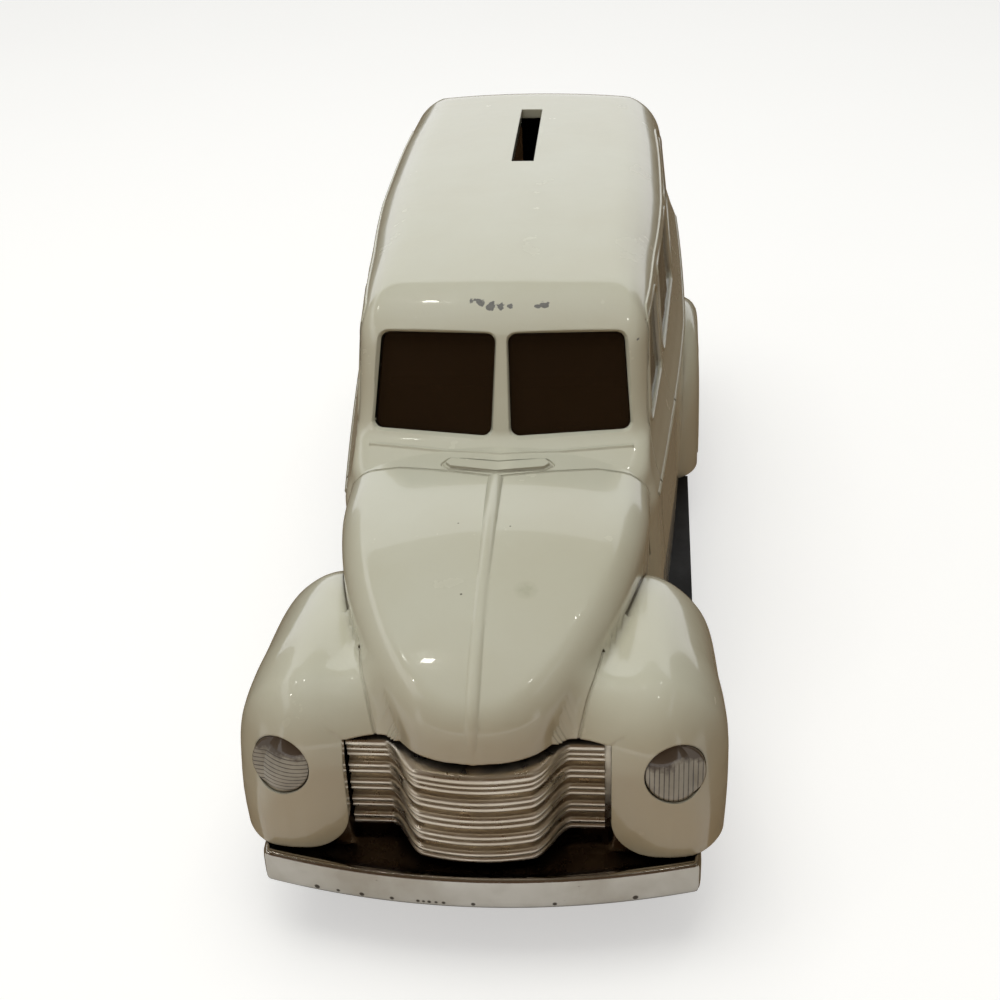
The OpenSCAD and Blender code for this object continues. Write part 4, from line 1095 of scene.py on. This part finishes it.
# %% Rear bumper
rear_low, rear_high = box_mm("rear_bumper")
x = np.linspace(-1, 1, 25)
arc = [(rear_high[0] * s, rear_y - 3.5 * s * s) for s in x]
inside = [(rear_high[0] * s, rear_y - 1.8 - 3.5 * s * s) for s in x[::-1]]
bm = pressing(arc, inside, 0.8, rear_low[2], rear_high[2], 0.5)
rear_bumper = new_object("bumper_rear", bm)
for side in (-1, 1):
    joined(rear_bumper, block((side * bracket_x - 2, rear_low[1], rear_low[2] + 1),
                              (side * bracket_x + 2, rear_y - 1, min(rear_high[2], 16.5))), "UNION")
finished(rear_bumper, "shell", "bright_plate", "rear_bumper", sharp=50)

# %% [markdown]
# ## Lamps
# The headlamps are silvered lenses that lie flush in round pockets of the fenders. A lens is a round
# grid, and each of its vertices is sent out along the lamp's axis to the fender's own skin. Its
# body is a profile spun about that axis. The fine lines on the lens belong to its finish.

# %% Helper for turned pieces
def spun(name, profile, place, steps=64, closed=True):
    """A profile of radius and height, spun about the place's own Z."""
    bm = bmesh.new()
    verts = [bm.verts.new((r, 0, z)) for r, z in profile]
    edges = [bm.edges.new(pair) for pair in zip(verts, verts[1:] + verts[:1] * closed)]
    bmesh.ops.spin(bm, geom=verts + edges, cent=(0, 0, 0), axis=(0, 0, 1), angle=2 * math.pi,
                   steps=steps, use_merge=True)
    bmesh.ops.remove_doubles(bm, verts=bm.verts, dist=0.0005)
    bmesh.ops.recalc_face_normals(bm, faces=bm.faces)
    bmesh.ops.transform(bm, matrix=place, verts=bm.verts)
    if place.determinant() < 0:
        bmesh.ops.reverse_faces(bm, faces=bm.faces)
    return new_object(name, bm)


# %% Headlamps
def headlamp(name, place, node):
    """A lens that goes on with the fender's curve, on a round body."""
    r = lamp_d / 2 - 0.1
    body = spun(name, [(0, -3), (r, -3), (r, -1.6), (r - 0.3, -1.3), (0, -1.3)], place, 72, False)
    axis = np.array((place.to_3x3() @ Vector((0, 0, 1)))[:])
    bm = bmesh.new()
    bmesh.ops.create_grid(bm, x_segments=40, y_segments=40, size=1)
    u, w = np.array([v.co[:2] for v in bm.verts]).T
    x = (r - 0.12) * u * np.sqrt(1 - w * w / 2)
    y = (r - 0.12) * w * np.sqrt(1 - u * u / 2)
    start = np.array([(place @ Vector((*co, -4)))[:] for co in zip(x, y)])
    dome = 0.5 * (1 - (np.hypot(x, y) / r) ** 2.4)
    z = reach(skin, start, axis, high=12) - 4.4 + dome
    placed(bm, np.stack([x, y, z], -1))
    skirt = bmesh.ops.extrude_edge_only(bm, edges=[e for e in bm.edges if e.is_boundary])["geom"]
    for v in skirt:
        if isinstance(v, bmesh.types.BMVert):
            v.co.z = -2
    bmesh.ops.holes_fill(bm, edges=[e for e in bm.edges if e.is_boundary], sides=0)
    bmesh.ops.recalc_face_normals(bm, faces=bm.faces)
    bmesh.ops.transform(bm, matrix=place, verts=bm.verts)
    if place.determinant() < 0:
        bmesh.ops.reverse_faces(bm, faces=bm.faces)
    joined(body, new_object("lens", bm), "UNION")
    return finished(body, "shell", "bright_plate", node, sharp=50, finish="lamp_lens")


headlamp("headlamp_l", lamp_place, "headlamp_left")
headlamp("headlamp_r", swap @ lamp_place, "headlamp_right")

# %% Tail lamps
for side, mirror in (("left", Matrix.Identity(4)), ("right", swap)):
    r = 2.4
    t = np.linspace(0, math.pi / 2, 7)
    dome = [(1.95 * math.cos(a), -0.3 + 1.0 * math.sin(a)) for a in t]
    profile = [(0, -4.2), (r, -4.2), (r, -0.5), (r - 0.15, -0.25), (r - 0.35, -0.25)] + dome
    lamp = spun(f"tail_lamp_{side[0]}", profile, mirror @ tail_lamp_place, 48, False)
    finished(lamp, "shell", "lamp_red", f"tail_lamp_{side}", sharp=45)

# %% [markdown]
# ## Wheels
# A wheel is turned work, so each part is one profile spun about the axle: the rubber tyre with its
# ribbed tread and a raised ring on the sidewall, the painted disc with its well, and the plated cap.
# Cross cuts in the tread are made by drawing every few steps of the tyre's shoulders inwards.

# %% Profiles of the wheel, as radius and distance outwards from the middle of the tyre
rim_r, half_w, tyre_r = 9.0, tyre_w / 2, tyre_d / 2


def tyre_profile():
    side = [(rim_r, half_w - 0.6), (rim_r + 0.5, half_w - 0.15), (rim_r + 1.2, half_w - 0.02),
            (rim_r + 1.5, half_w - 0.22), (rim_r + 2.6, half_w - 0.12), (rim_r + 2.8, half_w),
            (rim_r + 3.2, half_w), (rim_r + 3.5, half_w - 0.15), (tyre_r - 1.3, half_w - 0.3),
            (tyre_r - 0.7, half_w - 0.7), (tyre_r - 0.25, half_w - 1.15), (tyre_r - 0.05, half_w - 1.7)]
    tread = []
    for w in (2.2, 0.75):
        tread += [(tyre_r, w + 0.25), (tyre_r, w - 0.05), (tyre_r - 0.5, w - 0.15), (tyre_r - 0.5, w - 0.4),
                  (tyre_r, w - 0.5)]
    half = side + tread
    return half + [(r, -w) for r, w in half[::-1]]


disc_profile = [(1.5, -2.5), (4, -2.5), (4, -1), (rim_r - 2, -1), (rim_r - 2, -half_w + 0.6),
                (rim_r, -half_w + 0.6), (rim_r, half_w - 0.6), (rim_r - 0.3, half_w - 0.35),
                (rim_r - 0.9, half_w - 0.35), (rim_r - 1.3, half_w - 0.7), (rim_r - 1.7, half_w - 1.6),
                (rim_r - 2.1, half_w - 2.5), (rim_r - 2.6, 1.3), (rim_r - 3.4, 1.1), (rim_r - 4.2, 1.45),
                (rim_r - 4.6, 1.0), (1.5, 1.0)]
cap_profile = [(0, half_w - 1.5), (1.8, half_w - 1.5), (1.8, 1), (4.5, 1), (4.5, 1.5), (4.25, 1.75),
               (4.1, 1.8)]
cap_profile += [(3.9 * math.cos(a), 1.8 + 2.45 * math.sin(a)) for a in np.linspace(0, math.pi / 2, 9)]

# %% Wheels on their axles
for end, axle_y in (("front", axle_front), ("rear", axle_rear)):
    for side, mirror in (("left", Matrix.Identity(4)), ("right", swap)):
        place = mirror @ Matrix.Translation((axle_x, axle_y, axle_z)) @ turned(y=90)
        tyre = spun(f"tyre_{end}_{side[0]}", tyre_profile(), place, 120)
        back = place.inverted()
        for v in tyre.data.vertices:
            p = back @ v.co
            r = math.hypot(p.x, p.y)
            step = round(math.degrees(math.atan2(p.y, p.x)) / 3)
            if step % 4 == 0 and r > tyre_r - 0.9 and abs(p.z) > 1.9:
                p.x, p.y = p.x * (1 - 0.35 / r), p.y * (1 - 0.35 / r)
                v.co = place @ p
        finished(tyre, f"{end}_wheelset", "tyre_rubber", f"tyre_{end}_{side}", sharp=35)
        disc = spun(f"wheel_{end}_{side[0]}", disc_profile, place, 72)
        for k in range(6):
            hole = place @ turned(z=60 * k) @ Matrix.Translation((5.6, 0, 0))
            hole = hole @ Matrix.Scale(0.6, 4, (1, 0, 0))
            joined(disc, pin(0.9, 0.4, 3, hole, 20), "DIFFERENCE")
        finished(disc, f"{end}_wheelset", "cream_enamel", f"wheel_{end}_{side}", sharp=35)
        cap = spun(f"hubcap_{end}_{side[0]}", cap_profile, place, 56, False)
        finished(cap, f"{end}_wheelset", "bright_plate", f"hubcap_{end}_{side}", sharp=35)

# %% [markdown]
# ## Carried-over pieces
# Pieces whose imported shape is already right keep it. Each one takes the finish of its own slot.

# %% Finishes on the carried-over nodes
for part in frame["record"]["subparts"]:
    node = frame["nodes"][part["node"]]
    node.data.materials.clear()
    node.data.materials.append(finishes[part["material_slot"]])

# %% [markdown]
# ## Studio
# The picture was taken from above the front bumper with a phone-like lens. The bank stands on a
# pale floor that the camera sees as white, under one soft overhead light, with a warm fill from
# low in front, as from a wooden table, and five small lamps for the sharp highlights. Brown cards
# that only reflections see, one of them flat on the table, give the plating, the enamel and the
# glass something dark to mirror, as a product photographer's flags do.

# %% Camera
camera_place = Vector((24.4, -278.4, 204.9)) / 1000
camera_aim = Vector((-4.26, 5.35, 19.77)) / 1000
camera_roll = -2.56
camera_data = bpy.data.cameras.new("camera")
camera_data.lens = 58.6
camera_data.sensor_width = 36
camera_data.clip_start = 0.01
camera = bpy.data.objects.new("camera", camera_data)
bpy.context.collection.objects.link(camera)
look_at = (camera_aim - camera_place).to_track_quat("-Z", "Y").to_matrix().to_4x4()
roll = Matrix.Rotation(math.radians(camera_roll), 4, "Z")
camera.matrix_world = Matrix.Translation(camera_place) @ look_at @ roll
bpy.context.scene.camera = camera
print("camera", [round(c, 3) for c in camera_place], "lens", camera_data.lens)

# %% Floor
def floor_finish():
    look = Look("studio_floor")
    path = look.add("ShaderNodeLightPath").outputs
    pale = look.mix(look.noise(60, 2), (0.72, 0.70, 0.67, 1), (0.70, 0.68, 0.65, 1))
    look.set(Base_Color=look.mix(path["Is Diffuse Ray"], pale, srgb(176, 140, 100)), Roughness=0.9)
    glow = look.math("ADD", look.math("MULTIPLY", path["Is Camera Ray"], 0.5),
                     look.math("MULTIPLY", path["Is Glossy Ray"], 0.12))
    glow = look.add("ShaderNodeEmission", {"Color": (1, 1, 1, 1), "Strength": glow})
    both_shaders = look.add("ShaderNodeAddShader", {0: look.shader.outputs[0], 1: glow.outputs[0]})
    output = next(n for n in look.tree.nodes if n.type == "OUTPUT_MATERIAL")
    look.put(output.inputs["Surface"], both_shaders.outputs[0])
    return look.material


bm = bmesh.new()
bmesh.ops.create_grid(bm, x_segments=2, y_segments=2, size=3)
floor = new_object("studio_floor", bm)
floor.data.materials.append(floor_finish())

# %% World
class Sky(Look):
    """The same wrapper for the nodes of the world."""

    def __init__(self, world):
        world.use_nodes = True
        self.tree = world.node_tree
        self.shader = self.tree.nodes["Background"]
        self.place = self.add("ShaderNodeTexCoord").outputs["Generated"]


world = bpy.data.worlds.new("studio")
bpy.context.scene.world = world
sky = Sky(world)
path = sky.add("ShaderNodeLightPath").outputs
seen = sky.math("MAXIMUM", path["Is Camera Ray"], path["Is Glossy Ray"])
seen = sky.math("MAXIMUM", seen, path["Is Transmission Ray"])
height = sky.add("ShaderNodeVectorMath", {0: sky.place, 1: (-0.25, 0.0, 0.97)}, operation="DOT_PRODUCT")
lit = sky.mix(sky.ramp(height.outputs["Value"], 0, 0.8), (0.085, 0.058, 0.035, 1), (0.36, 0.38, 0.39, 1))
sky.set(Color=sky.mix(seen, lit, (1, 1, 1, 1)), Strength=1.0)


# %% Lamps and cards
def area_light(name, place, aim, size, power, colour):
    data = bpy.data.lights.new(name, "AREA")
    data.shape = "RECTANGLE"
    data.size, data.size_y = size
    data.energy = power
    data.color = colour
    obj = bpy.data.objects.new(name, data)
    bpy.context.collection.objects.link(obj)
    obj.location = place
    obj.rotation_euler = (Vector(aim) - Vector(place)).to_track_quat("-Z", "Y").to_euler()
    return obj


def card(name, place, aim, size, colour):
    """A dark card that only reflections see."""
    bm = bmesh.new()
    bmesh.ops.create_grid(bm, x_segments=1, y_segments=1, size=0.5)
    bmesh.ops.scale(bm, vec=(*size, 1), verts=bm.verts)
    turn = (Vector(aim) - Vector(place)).to_track_quat("-Z", "Y").to_matrix().to_4x4()
    bmesh.ops.transform(bm, matrix=Matrix.Translation(place) @ turn, verts=bm.verts)
    obj = new_object(name, bm)
    look = Look(name)
    look.set(Base_Color=(0, 0, 0, 1), Emission_Color=colour, Emission_Strength=1.0, Specular_IOR_Level=0.0)
    obj.data.materials.append(look.material)
    obj.visible_camera = obj.visible_diffuse = obj.visible_shadow = obj.visible_transmission = False
    return obj


overhead = area_light("overhead", (-0.08, 0.04, 0.72), (0, 0, 0.05), (0.6, 0.6), 2.65, (0.98, 1.0, 0.98))
warm_fill = area_light("warm_fill", (-0.1, -0.7, 0.16), (0, 0, 0.04), (0.6, 0.3), 0.34, (1.0, 0.72, 0.42))
for lamp in (overhead, warm_fill):
    lamp.visible_glossy = False
spot_range, spot_height = 0.62, 0.05
spots = [(-118, 47, 0.016), (-88, 62, 0.028), (46, 64, 0.018), (134, 68, 0.026), (-70, 76, 0.02)]
for k, (azimuth, elevation, size) in enumerate(spots):
    a, e = math.radians(azimuth), math.radians(elevation)
    aim = Vector((0, 0, spot_height))
    away = Vector((math.sin(a) * math.cos(e), math.cos(a) * math.cos(e), math.sin(e))) * spot_range
    area_light(f"spot_{k}", aim + away, aim, (size, size), 0.035, (1.0, 0.98, 0.92))
bank_middle = (0, 0, 0.03)
card("front_card", (0.0, -0.75, 0.42), bank_middle, (1.9, 0.72), srgb(84, 66, 48))
card("right_card", (0.85, 0.1, 0.32), bank_middle, (1.7, 0.9), srgb(92, 80, 62))
card("left_card", (-0.95, 0.1, 0.25), bank_middle, (1.7, 0.7), srgb(120, 108, 90))
card("table_card", (0, 0.57, 0.001), (0, 0.57, 1), (2.0, 1.32), srgb(104, 90, 70))
card("top_card", (0.0, 0.0, 0.95), (0, 0, 0), (1.7, 1.7), srgb(92, 82, 68))

bpy.context.scene.view_settings.view_transform = "Standard"
